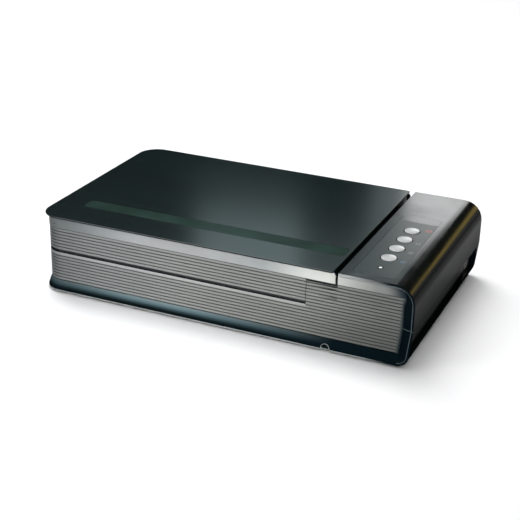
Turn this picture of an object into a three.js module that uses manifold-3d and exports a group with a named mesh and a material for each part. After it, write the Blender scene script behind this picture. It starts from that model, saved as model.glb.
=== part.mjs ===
// A flatbed scanner for books, shaped like a closed book that lies with its spine to the right.
// Millimetres, +Z up. The model is drawn from the loose front corner of the covers (x to the spine,
// y to the back, z up from the desk), and the whole is centred on its footprint at the end.
import * as THREE from "three";
import { mergeVertices, toCreasedNormals } from "three/addons/utils/BufferGeometryUtils.js";
import Module from "manifold-3d";

// Whole machine
const length = 491;
const depth = 291;
const height = 103;

// Clearances, and how far a cut or a joined root runs past the face that it meets
const gap = 0.3;
const slideGap = 0.4;
const overrun = 2;
const weldTolerance = 0.0005;
const overlook = 0.01;

// How far a facet may stay inside its true curve
const facetError = 0.24;
const creaseAngle = THREE.MathUtils.degToRad(35);

// Black covers: floor, spine and control panel
const footDrop = 2.8;
const coverWall = 2.2;
const coverCorner = 28;
const spineTopRadius = 24;
const spineFootRadius = 14;
const spineLean = THREE.MathUtils.degToRad(6);
const seamHeight = 48.5;
const seamGap = 0.4;
const panelLength = 91.5;
const lidGap = 7;
const bezelWidth = 13.2;
const bezelLip = 1;
const bezelStart = 60;
const bezelFaceShares = [[0, 0], [0.3, 0.1], [0.65, 0.4], [1, 1]];
const floorTop = footDrop + coverWall;
const panelLeft = length - panelLength;
const lidRight = panelLeft - lidGap;

// Page block: ribbed boards under a plain band
const pageInset = 4.5;
const grooveDepth = 1.2;
const pageWall = 1.8;
const pageCount = 17;
const lidPageCount = 7;
const bandHeight = 14.7;
const bandProud = 0.4;
const bandShoulder = 0.6;
const partGap = 1.4;
const pageFade = 6;
const pageShares = [[0, 1], [0.22, 0], [0.78, 0]];
const blockNoseRadius = 3;
const blockGap = 3.2;
const pageInner = pageInset + grooveDepth + pageWall;

// Lid
const lidPlateThickness = 1.8;
const lidPlateBevel = 0.5;
const lidRightRadius = 3;
const lidFlange = 2.2;
const lidFrameOverhang = 2;
const lidNoseRadius = 4;
const skirtEndInset = 33.7;
const notchGap = 0.8;
const stripeLeft = 37;
const stripeFront = 48;
const stripeWidth = 23;
const stripeRightMargin = 4.5;
const stripeDepth = 0.6;
const stripeRadius = 6;
const linerThickness = 2;
const linerPostRadius = 4;
const padThickness = 4.7;
const padMargin = 6;
const skirtLength = lidRight - skirtEndInset;
const lidUnder = height - lidPlateThickness;
const lidFrameTop = lidUnder - gap;
const bandBottom = lidUnder - bandHeight;
const pagesBottom = footDrop + bezelWidth + gap;
const pagePitch = (bandBottom - pagesBottom) / pageCount;
const partHeight = bandBottom - lidPageCount * pagePitch;
const lidPartBottom = partHeight + partGap / 2;
const basePartTop = partHeight - partGap / 2;

// Glass bed with its leaning book edge
const deckDrop = 1.5;
const deckThickness = 3;
const bedWall = 2.4;
const bedClearance = 1.4;
const bookEdgeRun = 11.4;
const bedLap = 2.9;
const troughDepth = 5;
const troughLength = 29;
const windowLeft = 25;
const windowRightInset = 42.5;
const windowInset = 4.6;
const windowBackInset = 18.7;
const glassThickness = 3;
const glassLap = 3;
const ledgeThickness = 2.2;
const bedRight = panelLeft + bedLap;
const deckTop = bandBottom - deckDrop;
const troughTop = deckTop - troughDepth;
const bedEdge = pageInner + bedClearance;
const bedBack = depth - pageInner - gap;
const bedFoot = basePartTop - bedWall;
const troughFront = bedBack - troughLength;
const windowFront = bedEdge + windowInset;
const windowBack = troughFront - windowBackInset;
const windowRight = lidRight - windowRightInset;
const rimBottom = deckTop - glassThickness - gap - ledgeThickness;

// Hinges: two posts that slide up for thick books, with the lid's arms on pins at their tops
const hingeInset = 13;
const hingeDrop = 11;
const hingeEndInset = 61;
const knuckleRadius = 5;
const postWidth = 18;
const postDepth = 7;
const postRise = 15;
const postFootWidth = 24;
const postFootHeight = 3;
const liftTravel = 20;
const liftSpare = 2;
const socketWall = 2;
const pinRadius = 2;
const pinHeadRadius = 3;
const pinHeadLength = 1.2;
const earWidth = 3;
const armLength = 38;
const armThickness = 2.5;
const hingePlaces = [hingeEndInset, lidRight - hingeEndInset];
const hingeY = depth - hingeInset;
const hingeZ = height - hingeDrop;
const skirtBack = depth - coverCorner;
const postBottom = floorTop + postRise;
const socketBottom = postBottom + postFootHeight + liftTravel + liftSpare;

// Screws under the floor and the bosses that take them
const bossRadius = 3.5;
const screwRadius = 1.5;
const screwLength = 10;
const screwHeadRadius = 3;
const screwHeadHeight = 1.4;
const bossEndInset = 40;
const bossHingeOffset = 42;
const bossFrontInset = 6;
const bossBackInset = 6.7;
const frontBossY = pageInner + bossFrontInset;
const frontBossPlaces = [bossEndInset, lidRight / 2, lidRight - bossEndInset];
const rearBossY = bedBack - bossBackInset;
const rearBossPlaces = [hingePlaces[0] + bossHingeOffset, lidRight / 2 + bossEndInset, lidRight - bossEndInset];

// Rubber feet
const footRadius = 8;
const footHeight = 2.5;
const footStemRadius = 2.5;
const footBarbRadius = 3.4;
const footBarbHeight = 1.2;
const footInsetX = 24;
const footInsetY = 18;

// Snap notch in the front of the floor
const notchInset = 5.5;
const notchWidth = 12;
const notchHeight = 10.9;
const notchDepth = 3;
const tongueWidth = 7;
const tongueHeight = 5;
const tongueThickness = 1.6;
const notchCentre = lidRight - notchInset;

// Control panel
const overlayInset = 11.5;
const overlayWidth = 50;
const overlayFront = 14;
const overlayBackInset = 85;
const overlayThickness = 0.8;
const overlayRadius = 5;
const buttonInset = 25.5;
const buttonFirstY = 67;
const buttonPitch = 30;
const buttonCount = 4;
const buttonRadius = 9.5;
const buttonProud = 1;
const buttonCrown = 0.5;
const buttonFlange = 1.6;
const buttonFlangeHeight = 1;
const buttonStemRadius = 2.5;
const buttonStem = 1.9;
const lightY = 37;
const lightRadius = 2.8;
const lightProud = 0.5;
const lightFlange = 1.2;
const switchSize = 6;
const switchHeight = 2.4;
const switchClearance = 1.6;
const boardThickness = 1.6;
const buttonBoardWidth = 34;
const buttonBoardMargin = 14;
const panelPostRadius = 3;
const panelUnder = height - coverWall;
const overlayLeft = panelLeft + overlayInset;
const overlayRight = overlayLeft + overlayWidth;
const overlayBack = depth - overlayBackInset;
const buttonX = overlayLeft + buttonInset;

// Sockets in the spine
const portBackInset = 11;
const portLength = 58;
const portBottom = 19;
const portTop = 46;
const portRadius = 3;
const portWall = 1.6;
const portPlateInset = 10.8;
const portPlateThickness = 1.6;
const portPlateLap = 2.2;
const socketProud = 0.6;
const usbInset = 17;
const usbWidth = 12;
const usbHeight = 11;
const usbLength = 16;
const usbWall = 1;
const usbTongueWidth = 5.6;
const usbTongueHeight = 3.2;
const jackInset = 34;
const jackWidth = 10;
const jackHeight = 11;
const jackLength = 14;
const jackBore = 3.1;
const jackPinRadius = 1;
const rockerInset = 50;
const rockerWidth = 10;
const rockerHeight = 15;
const rockerHousingLength = 16;
const rockerWall = 1.2;
const rockerPivotRadius = 1.3;
const rockerProud = 1.6;
const rockerTilt = THREE.MathUtils.degToRad(7);
const portBack = depth - portBackInset;
const portFront = portBack - portLength;
const portPlateX = length - portPlateInset;
const usbY = portBack - usbInset;
const jackY = portBack - jackInset;
const rockerY = portBack - rockerInset;
const rockerZ = (portBottom + portTop) / 2;

// Main circuit board
const boardWidth = 43;
const boardLength = 161;
const boardPortGap = 9.2;
const boardPost = 15;
const boardPostRadius = 3;
const boardStudRadius = 1.4;
const boardInset = 5;
const chipSize = 20;
const chipHeight = 2;
const capacitorRadius = 4;
const capacitorHeight = 11;
const connectorWidth = 24;
const connectorDepth = 6;
const connectorHeight = 5;
const connectorInset = 20;
const boardRight = portPlateX - boardPortGap;
const boardLeft = boardRight - boardWidth;
const boardBack = portBack + boardThickness;
const boardFront = boardBack - boardLength;
const ribbonY = boardFront + connectorInset;
const boardBottom = floorTop + boardPost;
const boardTop = boardBottom + boardThickness;

// Belt drive: involute gears and a toothed belt with 5 mm pitch
const beltPitch = 5;
const pulleyTeeth = 12;
const beltWidth = 6;
const beltBack = 0.9;
const beltLand = 0.5;
const beltToothHeight = 1.2;
const beltToothRoot = 2.65;
const pulleyClearance = 0.25;
const pulleyFlange = 1;
const beltRise = 18.2;
const beltHingeOffset = 20;
const idlerX = 30;
const driveInset = 12.5;
const clipOffset = 10;
const clipHalf = 7;
const clipJaw = 2;
const clipRoof = 2.6;
const gearPitchDiameter = 36;
const gearTeeth = 36;
const pinionTeeth = 12;
const gearFace = 5;
const gearClearance = 0.15;
const gearBacklash = 0.12;
const pressureAngle = THREE.MathUtils.degToRad(20);
const addendumShare = 0.95;
const dedendumShare = 1.25;
const motorBearing = THREE.MathUtils.degToRad(-25);
const gearPinRadius = 2.5;
const gearPinHead = 4.4;
const gearPinHeadHeight = 1;
const motorRadius = 17.5;
const motorHeight = 20;
const motorEar = 25;
const motorEarHalf = 4.5;
const motorEarThickness = 1.2;
const shaftRadius = 1.5;
const motorPlateThickness = 1.6;
const motorPlateGap = 2;
const motorPlateLeftReach = 11;
const motorPlateRightReach = 46;
const motorPlateFrontReach = 27;
const motorPlateBackReach = 21.5;
const motorPostRadius = 3.2;
const motorPostLeft = -6.5;
const motorPostMiddle = 19;
const motorPostRight = 41;
const motorPostFront = -22.5;
const motorPostBack = 17.2;
const motorPostEdge = -22;
const slideThickness = 2;
const slideHalf = 9;
const slideLength = 30;
const slideTab = 11;
const slideRailHalf = 5.5;
const slideRailWidth = 2;
const springRadius = 2.6;
const springWire = 0.4;
const springTurns = 6;
const stepsPerTurn = 8;
const wireSides = 5;
const springLength = 14;
const springWallThickness = 2.4;
const springWallHalf = 6;
const beltRearY = hingeY - beltHingeOffset;
const beltSpan = Math.round((lidRight - driveInset - idlerX) / beltPitch) * beltPitch;
const beltTeeth = pulleyTeeth + (2 * beltSpan) / beltPitch;
const pulleyRadius = (pulleyTeeth * beltPitch) / (2 * Math.PI);
const driveX = idlerX + beltSpan;
const beltFrontY = beltRearY - pulleyRadius;
const beltBottom = floorTop + beltRise;
const beltTop = beltBottom + beltWidth;
const pulleyBottom = beltBottom - pulleyFlange - gap;
const gearModule = gearPitchDiameter / gearTeeth;
const gearBottom = beltTop + gap + pulleyFlange;
const gearTop = gearBottom + gearFace;
const motorPlateBottom = gearTop + motorPlateGap;
const motorPlateTop = motorPlateBottom + motorPlateThickness;
const motorPosts = [
  [driveX + motorPostLeft, beltRearY + motorPostFront],
  [driveX + motorPostMiddle, beltRearY + motorPostBack],
  [driveX + motorPostRight, beltRearY + motorPostEdge],
];
const gearDistance = (gearModule * (gearTeeth + pinionTeeth)) / 2 + gearClearance;
const motorX = driveX + gearDistance * Math.cos(motorBearing);
const motorY = beltRearY + gearDistance * Math.sin(motorBearing);
const slideBottom = pulleyBottom - gap - gearPinHeadHeight - slideThickness;

// Scan carriage and what guides it
const carriageHome = 37;
const carriageHalf = 24;
const carriageTopGap = 0.75;
const carriageRodGap = 3;
const carriageFrontGap = 2;
const carriageCorner = 10;
const carriageBeltGap = 22;
const slitWidth = 5;
const slitDepth = 8;
const slitEndGap = 18;
const lightBarWidth = 7;
const lightBarHeight = 4;
const lightBarOffset = 10;
const lugWall = 1;
const lugHalf = 20;
const rodBeltOffset = 36;
const rodRise = 38;
const rodRadius = 4;
const rodClearance = 0.35;
const bushingWall = 2.6;
const rodEndInset = 3.1;
const bracketThickness = 4;
const bracketWidth = 19;
const bracketFootLength = 16;
const bracketFootHeight = 3;
const bracketCap = 7;
const railInset = 23.5;
const railWeb = 2.4;
const railFlange = 9;
const railFlangeThickness = 2;
const padLength = 8;
const padWidth = 6;
const sensorBoardHalf = 18;
const ribbonWidth = 20;
const ribbonThickness = 0.4;
const ribbonRise = 12;
const rodY = beltRearY - rodBeltOffset;
const rodZ = floorTop + rodRise;
const rodLeft = pageInner + rodEndInset;
const rodRight = driveX - bracketThickness / 2;
const railY = pageInner + railInset;
const bushingRadius = rodRadius + rodClearance + bushingWall;
const lugFront = rodY - bushingRadius - lugWall;
const lugBack = rodY + bushingRadius + lugWall;
const lugBottom = rodZ - bushingRadius - lugWall;
const carriageTop = rimBottom - carriageTopGap;
const carriageBottom = rodZ + rodRadius + carriageRodGap;
const carriageBack = beltRearY - carriageBeltGap;
const railTop = carriageBottom - gap - gap;
const sensorBoardFront = railY + railFlange;
const sensorBoardBack = ribbonY + sensorBoardHalf;
const ribbonFloor = floorTop + gap;

// Colours
function plastic(color, roughness) {
  return new THREE.MeshStandardMaterial({ color, roughness, metalness: 0 });
}

function metal(color, roughness) {
  return new THREE.MeshStandardMaterial({ color, roughness, metalness: 1 });
}

const blackShell = plastic(0x1a1f1e, 0.45);
const darkPlastic = plastic(0x23282a, 0.6);
const pageSilver = plastic(0xa3a7a6, 0.4);
const overlayGrey = plastic(0x59636a, 0.5);
const buttonSilver = plastic(0xd6d7d2, 0.3);
const whitePlastic = plastic(0xe8e8e4, 0.6);
const stripeGloss = plastic(0x16211f, 0.12);
const rubberBlack = plastic(0x141414, 0.9);
const boardGreen = plastic(0x1f5a3a, 0.5);
const gearWhite = plastic(0xdcdcd2, 0.5);
const glassTint = plastic(0x9fb3ae, 0.05);
const steel = metal(0xb9bcbe, 0.3);
const zinc = metal(0x9a9da0, 0.45);

const wasm = await Module();
wasm.setup();

const axisX = new THREE.Vector3(1, 0, 0);
const axisY = new THREE.Vector3(0, 1, 0);
const axisZ = new THREE.Vector3(0, 0, 1);
const drawnIn = {
  x: new THREE.Matrix4().makeBasis(axisY, axisZ, axisX),
  y: new THREE.Matrix4().makeBasis(axisX, axisZ, axisY),
  z: new THREE.Matrix4(),
};

// Turns a closed geometry into a solid that can be cut and joined, facing outwards.
function solid(geometry) {
  const bare = new THREE.BufferGeometry();
  bare.setAttribute("position", geometry.getAttribute("position"));
  if (geometry.index) bare.setIndex(geometry.index);
  const merged = mergeVertices(bare, weldTolerance);
  const corners = merged.index.array;
  const kept = [];
  for (let i = 0; i < corners.length; i += 3) {
    const [a, b, c] = corners.slice(i, i + 3);
    if (a !== b && b !== c && c !== a) kept.push(a, b, c);
  }
  const vertProperties = merged.attributes.position.array;
  const build = (triVerts) => new wasm.Manifold(new wasm.Mesh({ numProp: 3, vertProperties, triVerts }));
  const made = build(new Uint32Array(kept));
  return made.volume() > 0 ? made : build(new Uint32Array(kept).reverse());
}

function join(...solids) {
  return solids.reduce((whole, next) => whole.add(next));
}

function cut(whole, ...tools) {
  return tools.reduce((rest, tool) => rest.subtract(tool), whole);
}

// A shape drawn across the named axis and pushed along it. Across x it is drawn in (y, z),
// across y in (x, z) and across z in (x, y).
function prism(axis, shape, from, to) {
  const geometry = new THREE.ExtrudeGeometry(shape, { depth: to - from, bevelEnabled: false });
  geometry.translate(0, 0, from);
  geometry.applyMatrix4(drawnIn[axis]);
  return solid(geometry);
}

function box(x0, x1, y0, y1, z0, z1) {
  const geometry = new THREE.BoxGeometry(x1 - x0, y1 - y0, z1 - z0);
  geometry.translate((x0 + x1) / 2, (y0 + y1) / 2, (z0 + z1) / 2);
  return solid(geometry);
}

// Facets that keep a curve within the facet error; a whole turn gets an even number, from 6 up.
function facets(radius, turn) {
  return Math.max(2, Math.ceil(Math.abs(turn) / (2 * Math.acos(1 - facetError / radius)) - overlook));
}

function sidesOf(radius) {
  return 2 * Math.max(3, facets(radius, Math.PI));
}

// A round bar along the named axis, at the two coordinates across that axis.
function bar(axis, [u, v], radius, from, to) {
  return prism(axis, shapeOf(arc(u, v, radius, 0, 2 * Math.PI, sidesOf(radius)).slice(1)), from, to);
}

// A profile (radius, z) turned about the z axis.
function turned(profile) {
  const points = profile.map(([radius, z]) => new THREE.Vector2(radius, z));
  const widest = Math.max(...profile.map(([radius]) => radius));
  return solid(new THREE.LatheGeometry(points, sidesOf(widest)).rotateX(Math.PI / 2));
}

function arc(cx, cy, radius, from, to, steps) {
  return Array.from({ length: steps + 1 }, (_, i) => {
    const angle = from + ((to - from) * i) / steps;
    return [cx + radius * Math.cos(angle), cy + radius * Math.sin(angle)];
  });
}

function shapeOf(points) {
  return new THREE.Shape(points.map(([x, y]) => new THREE.Vector2(x, y)));
}

// A closed outline through corners [x, y, radius], each rounded by its own radius.
function outline(corners) {
  const at = (i) => new THREE.Vector2(...corners.at(i % corners.length).slice(0, 2));
  const points = corners.flatMap(([x, y, radius = 0], i) => {
    if (radius === 0) return [[x, y]];
    const corner = at(i);
    const before = at(i - 1).sub(corner).normalize();
    const after = at(i + 1).sub(corner).normalize();
    const half = Math.acos(before.dot(after)) / 2;
    const centre = before.clone().add(after).normalize().multiplyScalar(radius / Math.sin(half)).add(corner);
    const reach = radius / Math.tan(half);
    const start = before.multiplyScalar(reach).add(corner).sub(centre);
    const end = after.multiplyScalar(reach).add(corner).sub(centre);
    const turn = Math.atan2(start.cross(end), start.dot(end));
    return arc(centre.x, centre.y, radius, start.angle(), start.angle() + turn, facets(radius, turn));
  });
  return shapeOf(points);
}

function rectangle(x0, x1, y0, y1, radius = 0) {
  return outline([[x0, y0, radius], [x1, y0, radius], [x1, y1, radius], [x0, y1, radius]]);
}

// A closed solid through sections [u, v] drawn at each station along the directions across and up.
function sweep(stations) {
  const rings = stations.map(({ at, across, up, section }) =>
    section.map(([u, v]) => at.clone().addScaledVector(across, u).addScaledVector(up, v)),
  );
  const count = rings[0].length;
  const index = [];
  for (let r = 0; r + 1 < rings.length; r++) {
    for (let i = 0; i < count; i++) {
      const a = r * count + i;
      const b = r * count + ((i + 1) % count);
      index.push(a, b, b + count, a, b + count, a + count);
    }
  }
  const flat = (section) => section.map(([u, v]) => new THREE.Vector2(u, v));
  const first = flat(stations[0].section);
  const last = flat(stations.at(-1).section);
  const turnedRight = THREE.ShapeUtils.isClockWise(first);
  const cap = (points, offset, reverse) =>
    THREE.ShapeUtils.triangulateShape(points, []).forEach((face) => {
      const corners = face.map((i) => i + offset);
      index.push(...(reverse ? corners.reverse() : corners));
    });
  cap(first, 0, !turnedRight);
  cap(last, (rings.length - 1) * count, turnedRight);
  const geometry = new THREE.BufferGeometry().setFromPoints(rings.flat());
  geometry.setIndex(index);
  return solid(geometry);
}

function mix(from, to, share) {
  return from + (to - from) * share;
}

// Plan outline of the covers, drawn in by an inset, with round loose corners on the left.
function coverPlan(inset, right, front = inset, back = depth - inset) {
  const radius = coverCorner - inset;
  return outline([[inset, front, radius], [right, front], [right, back], [inset, back, radius]]);
}

// The covers from the front: points (x, z) with the direction that leads into the case.
function onPath(x, z, angle) {
  return { x, z, across: new THREE.Vector3(-Math.cos(angle), 0, -Math.sin(angle)) };
}

function lowerPath(left) {
  const centreZ = footDrop + spineFootRadius;
  const reach = spineFootRadius + (seamHeight - centreZ) * Math.sin(spineLean);
  const centreX = length - reach / Math.cos(spineLean);
  const steps = facets(spineFootRadius, Math.PI / 2 - spineLean);
  const path = [onPath(left, footDrop, -Math.PI / 2)];
  for (let i = 0; i <= steps; i++) {
    const angle = mix(-Math.PI / 2, -spineLean, i / steps);
    path.push(
      onPath(centreX + spineFootRadius * Math.cos(angle), centreZ + spineFootRadius * Math.sin(angle), angle),
    );
  }
  const level = new THREE.Vector3(-1 / Math.cos(spineLean), 0, 0);
  path.push({ x: length, z: seamHeight - seamGap / 2, across: level });
  return path;
}

function upperPath() {
  const steps = facets(spineTopRadius, Math.PI / 2);
  const path = [onPath(length, seamHeight + seamGap / 2, 0)];
  for (let i = 0; i <= steps; i++) {
    const angle = ((Math.PI / 2) * i) / steps;
    const x = length - spineTopRadius + spineTopRadius * Math.cos(angle);
    const z = height - spineTopRadius + spineTopRadius * Math.sin(angle);
    path.push({ ...onPath(x, z, angle), closed: i / steps });
  }
  return path;
}

function offsetPath(path, reach) {
  return path.map(({ x, z, across }, i) => {
    const distance = typeof reach === "number" ? reach : reach(path[i]);
    return [x + across.x * distance, z + across.z * distance];
  });
}

function strip(path, near, far) {
  return shapeOf([...offsetPath(path, near), ...offsetPath(path, far).reverse()]);
}

// The dark band between a cover's rim and the page block narrows round the spine's upper corner.
function bezelReach({ closed = 0 }) {
  return mix(bezelWidth, coverWall, closed);
}

function bezelSection(width) {
  const root = coverWall / 2;
  const face = bezelFaceShares.map(([across, back]) => [
    mix(root, width, across),
    mix(bezelLip, pageInset, back),
  ]);
  return [...face, [width, pageInner], [root, pageInner]];
}

function bezels(path) {
  const along = (y, up) =>
    sweep(
      path.map((place) => ({
        at: new THREE.Vector3(place.x, y, place.z),
        across: place.across,
        up,
        section: bezelSection(bezelReach(place)),
      })),
    );
  return join(along(0, axisY), along(depth, axisY.clone().negate()));
}

// Stations round the page block: along the front from the right end, round both loose corners
// and back along the rear. The grooves can fade out at the corners and at the ends.
function blockPath(right, cornerShare, endShare) {
  const stations = [];
  const add = (x, y, angle, grooveShare) => {
    const across = new THREE.Vector3(Math.cos(angle), Math.sin(angle), 0);
    stations.push({ at: new THREE.Vector3(x, y, 0), across, up: axisZ, grooveShare });
  };
  const steps = facets(coverCorner, Math.PI / 2);
  const corner = (cy, from) => {
    for (let i = 0; i <= steps; i++) {
      const angle = from - ((Math.PI / 2) * i) / steps;
      add(coverCorner - coverCorner * Math.cos(angle), cy - coverCorner * Math.sin(angle), angle, cornerShare);
    }
  };
  add(right, 0, Math.PI / 2, endShare);
  add(right - pageFade, 0, Math.PI / 2, 1);
  add(coverCorner + pageFade, 0, Math.PI / 2, 1);
  corner(coverCorner, Math.PI / 2);
  add(0, coverCorner + pageFade, 0, 1);
  add(0, depth - coverCorner - pageFade, 0, 1);
  corner(depth - coverCorner, 0);
  add(coverCorner + pageFade, depth, -Math.PI / 2, 1);
  add(right - pageFade, depth, -Math.PI / 2, 1);
  add(right, depth, -Math.PI / 2, endShare);
  return stations;
}

// Wall section in (inset, z): boards divided by grooves, a plain band above them, a flat back.
function pageSection(firstPage, top, grooveShare) {
  const bottom = pagesBottom + firstPage * pagePitch;
  const face = [];
  for (let page = firstPage; page < pageCount; page++) {
    const z = pagesBottom + page * pagePitch;
    for (const [up, into] of pageShares) {
      face.push([pageInset + grooveDepth * into * grooveShare, z + pagePitch * up]);
    }
  }
  face.push([pageInset + grooveDepth * grooveShare, bandBottom]);
  face.push([pageInset - bandProud, bandBottom + bandShoulder]);
  face.push([pageInset - bandProud, top]);
  return [...face, [pageInner, top], [pageInner, bottom]];
}

function pageRing(right, firstPage, top, cornerShare, endShare) {
  const stations = blockPath(right, cornerShare, endShare);
  return sweep(
    stations.map((station) => ({ ...station, section: pageSection(firstPage, top, station.grooveShare) })),
  );
}

// The floor of the case with the lower half of the spine, the curb under the pages and the
// bosses that the inner pieces stand on.
function bottomCover() {
  const sheet = prism("y", strip(lowerPath(0), 0, coverWall), 0, depth);
  const shell = sheet.intersect(prism("z", coverPlan(0, length + overrun), 0, height));
  const curbSection = bezelSection(bezelWidth).map(([u, v]) => [v, u + footDrop]);
  const curb = sweep(
    blockPath(length - bezelStart, 1, 1).map((station) => ({ ...station, section: curbSection })),
  );
  const rims = bezels(lowerPath(length - bezelStart));
  const posts = [...boardPosts(), ...motorPlatePosts()];
  const joined = join(shell, curb, rims, portTunnel(), ...slideRails(), springWall(), ...posts);
  return cut(joined, portOpening(), snapNotch(), ...footHoles(), ...screwHoles()).add(snapTongue());
}

function portTunnel() {
  const outer = rectangle(portFront - portWall, portBack + portWall, portBottom - portWall, portTop + portWall);
  const within = shapeOf([...offsetPath(lowerPath(0), coverWall / 2), [0, seamHeight]]);
  const block = prism("x", outer, portPlateX + portPlateThickness + gap, length);
  return block.intersect(prism("y", within, 0, depth));
}

function portOpening() {
  const mouth = rectangle(portFront, portBack, portBottom, portTop, portRadius);
  return prism("x", mouth, portPlateX, length + overrun);
}

function snapNotch() {
  const half = notchWidth / 2;
  const top = footDrop + notchHeight;
  const arch = outline([
    [notchCentre - half, footDrop - overrun],
    [notchCentre + half, footDrop - overrun],
    [notchCentre + half, top, half - gap],
    [notchCentre - half, top, half - gap],
  ]);
  return prism("y", arch, -overrun, notchDepth);
}

function snapTongue() {
  const half = tongueWidth / 2;
  const top = footDrop + tongueHeight;
  const tab = outline([
    [notchCentre - half, footDrop],
    [notchCentre + half, footDrop],
    [notchCentre + half, top, half - gap],
    [notchCentre - half, top, half - gap],
  ]);
  return prism("y", tab, notchDepth - tongueThickness, notchDepth + overrun);
}

function boardPosts() {
  return boardCorners().map(([x, y]) =>
    join(
      bar("z", [x, y], boardPostRadius, floorTop - coverWall / 2, boardBottom - gap),
      bar("z", [x, y], boardStudRadius, floorTop, boardTop + gap),
    ),
  );
}

function boardCorners() {
  const xs = [boardLeft + boardInset, boardRight - boardInset];
  const ys = [boardFront + boardInset, portFront - boardInset];
  return xs.flatMap((x) => ys.map((y) => [x, y]));
}

function motorPlatePosts() {
  return motorPosts.map(([x, y]) =>
    join(
      bar("z", [x, y], motorPostRadius, floorTop - coverWall / 2, motorPlateBottom - gap),
      bar("z", [x, y], boardStudRadius, floorTop, motorPlateTop + gap),
    ),
  );
}

function slideRails() {
  const left = idlerX - slideHalf;
  return [-1, 1].map((side) => {
    const y = beltRearY + side * slideRailHalf;
    const half = slideRailWidth / 2;
    return box(left, left + slideLength, y - half, y + half, floorTop - coverWall / 2, slideBottom - gap);
  });
}

function springWall() {
  const x = idlerX - slideHalf + slideLength + springLength;
  const y0 = beltRearY - springWallHalf;
  const y1 = beltRearY + springWallHalf;
  return box(x, x + springWallThickness, y0, y1, floorTop - coverWall / 2, slideBottom);
}

function footPlaces() {
  const xs = [footInsetX, length - footInsetX];
  const ys = [footInsetY, depth - footInsetY];
  return xs.flatMap((x) => ys.map((y) => [x, y]));
}

function footHoles() {
  return footPlaces().map(([x, y]) =>
    bar("z", [x, y], footStemRadius + gap, footDrop - overrun, floorTop + overrun),
  );
}

function bossPlaces() {
  return [
    ...frontBossPlaces.map((x) => [x, frontBossY]),
    ...rearBossPlaces.map((x) => [x, rearBossY]),
  ];
}

function screwHoles() {
  return bossPlaces().flatMap(([x, y]) => [
    bar("z", [x, y], screwRadius + gap, footDrop - overrun, floorTop + overrun),
    bar("z", [x, y], screwHeadRadius + gap, footDrop - overrun, footDrop + coverWall / 2),
  ]);
}

function screw() {
  return turned(
    [
      [0, 0],
      [screwHeadRadius, 0],
      [screwHeadRadius, screwHeadHeight],
      [screwRadius, screwHeadHeight],
      [screwRadius, screwLength],
      [0, screwLength + screwRadius],
    ],
  );
}

function foot() {
  const barbBottom = floorTop + gap;
  return turned(
    [
      [0, 0],
      [footRadius - gap, 0],
      [footRadius, gap],
      [footRadius, footHeight],
      [footStemRadius, footHeight],
      [footStemRadius, barbBottom],
      [footBarbRadius, barbBottom],
      [footStemRadius, barbBottom + footBarbHeight],
      [0, barbBottom + footBarbHeight],
    ],
  );
}

// The silver page block round three sides, cut away where the lid's part of it sits.
function pageWallRing() {
  const right = length - bezelWidth - gap;
  const top = height - coverWall - gap;
  const ring = pageRing(right, 0, top, 0, 0);
  const reach = (place) => bezelReach(place) + gap;
  const region = shapeOf([
    [-overrun, pagesBottom],
    ...offsetPath(lowerPath(0), reach),
    ...offsetPath(upperPath(), reach),
    [-overrun, top],
  ]);
  const blockLeft = lidRight + lidFrameOverhang + blockGap;
  const lidSide = box(-overrun, skirtLength + notchGap, -overrun, skirtBack + notchGap, basePartTop, height);
  const underBand = box(-overrun, blockLeft, -overrun, depth / 2, deckTop, height);
  const rearGap = box(-overrun, blockLeft, depth / 2, depth + overrun, troughTop + deckDrop, height);
  const kept = ring.intersect(prism("y", region, -overrun, depth + overrun));
  return cut(kept, lidSide, underBand, rearGap, noseCut(blockLeft, top, blockNoseRadius, 1));
}

// Rounds the upper corner of a wall's end, on the side that faces left (1) or right (-1).
function noseCut(x, top, radius, side) {
  const square = box(
    Math.min(x, x + side * radius) - (side > 0 ? overrun : 0),
    Math.max(x, x + side * radius) + (side < 0 ? overrun : 0),
    -overrun,
    depth + overrun,
    top - radius,
    top + overrun,
  );
  return square.subtract(bar("y", [x + side * radius, top - radius], radius, -overrun * 2, depth + overrun * 2));
}

// The control panel with the upper half of the spine, in one bent shell.
function spineCover() {
  const path = [...upperPath(), onPath(panelLeft, height, Math.PI / 2)];
  const sheet = prism("y", strip(path, 0, coverWall), 0, depth);
  const cheek = box(
    panelLeft,
    panelLeft + coverWall,
    pageInner + gap,
    bedBack,
    deckTop + gap,
    height - coverWall / 2,
  );
  const tailTop = deckTop + overrun;
  const rearTail = box(panelLeft, panelLeft + coverWall, troughFront, bedBack, troughTop + gap, tailTop);
  const whole = join(sheet, bezels(upperPath()), cheek, rearTail, ...panelPosts());
  return cut(whole, overlaySeat(), ...buttonHoles(), lightHole());
}

function overlayShape(grow) {
  return rectangle(
    overlayLeft - grow,
    overlayRight + grow,
    overlayFront - grow,
    overlayBack + grow,
    overlayRadius,
  );
}

function overlaySeat() {
  return prism("z", overlayShape(gap), height - overlayThickness - gap, height + overrun);
}

function buttonPlaces() {
  return Array.from({ length: buttonCount }, (_, i) => [buttonX, buttonFirstY + i * buttonPitch]);
}

function buttonHoles() {
  return buttonPlaces().map(([x, y]) =>
    bar("z", [x, y], buttonRadius + slideGap, panelUnder - overrun, height + overrun),
  );
}

function lightHole() {
  return bar("z", [buttonX, lightY], lightRadius + gap, panelUnder - overrun, height + overrun);
}

function panelPosts() {
  return buttonBoardCorners().map(([x, y]) =>
    join(
      bar("z", [x, y], panelPostRadius, buttonBoardTop() + gap, height - coverWall / 2),
      bar("z", [x, y], boardStudRadius, buttonBoardTop() - boardThickness - gap, panelUnder),
    ),
  );
}

function panelOverlay() {
  const sheet = prism("z", overlayShape(0), height - overlayThickness, height);
  return cut(sheet, ...buttonHoles(), lightHole());
}

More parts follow.
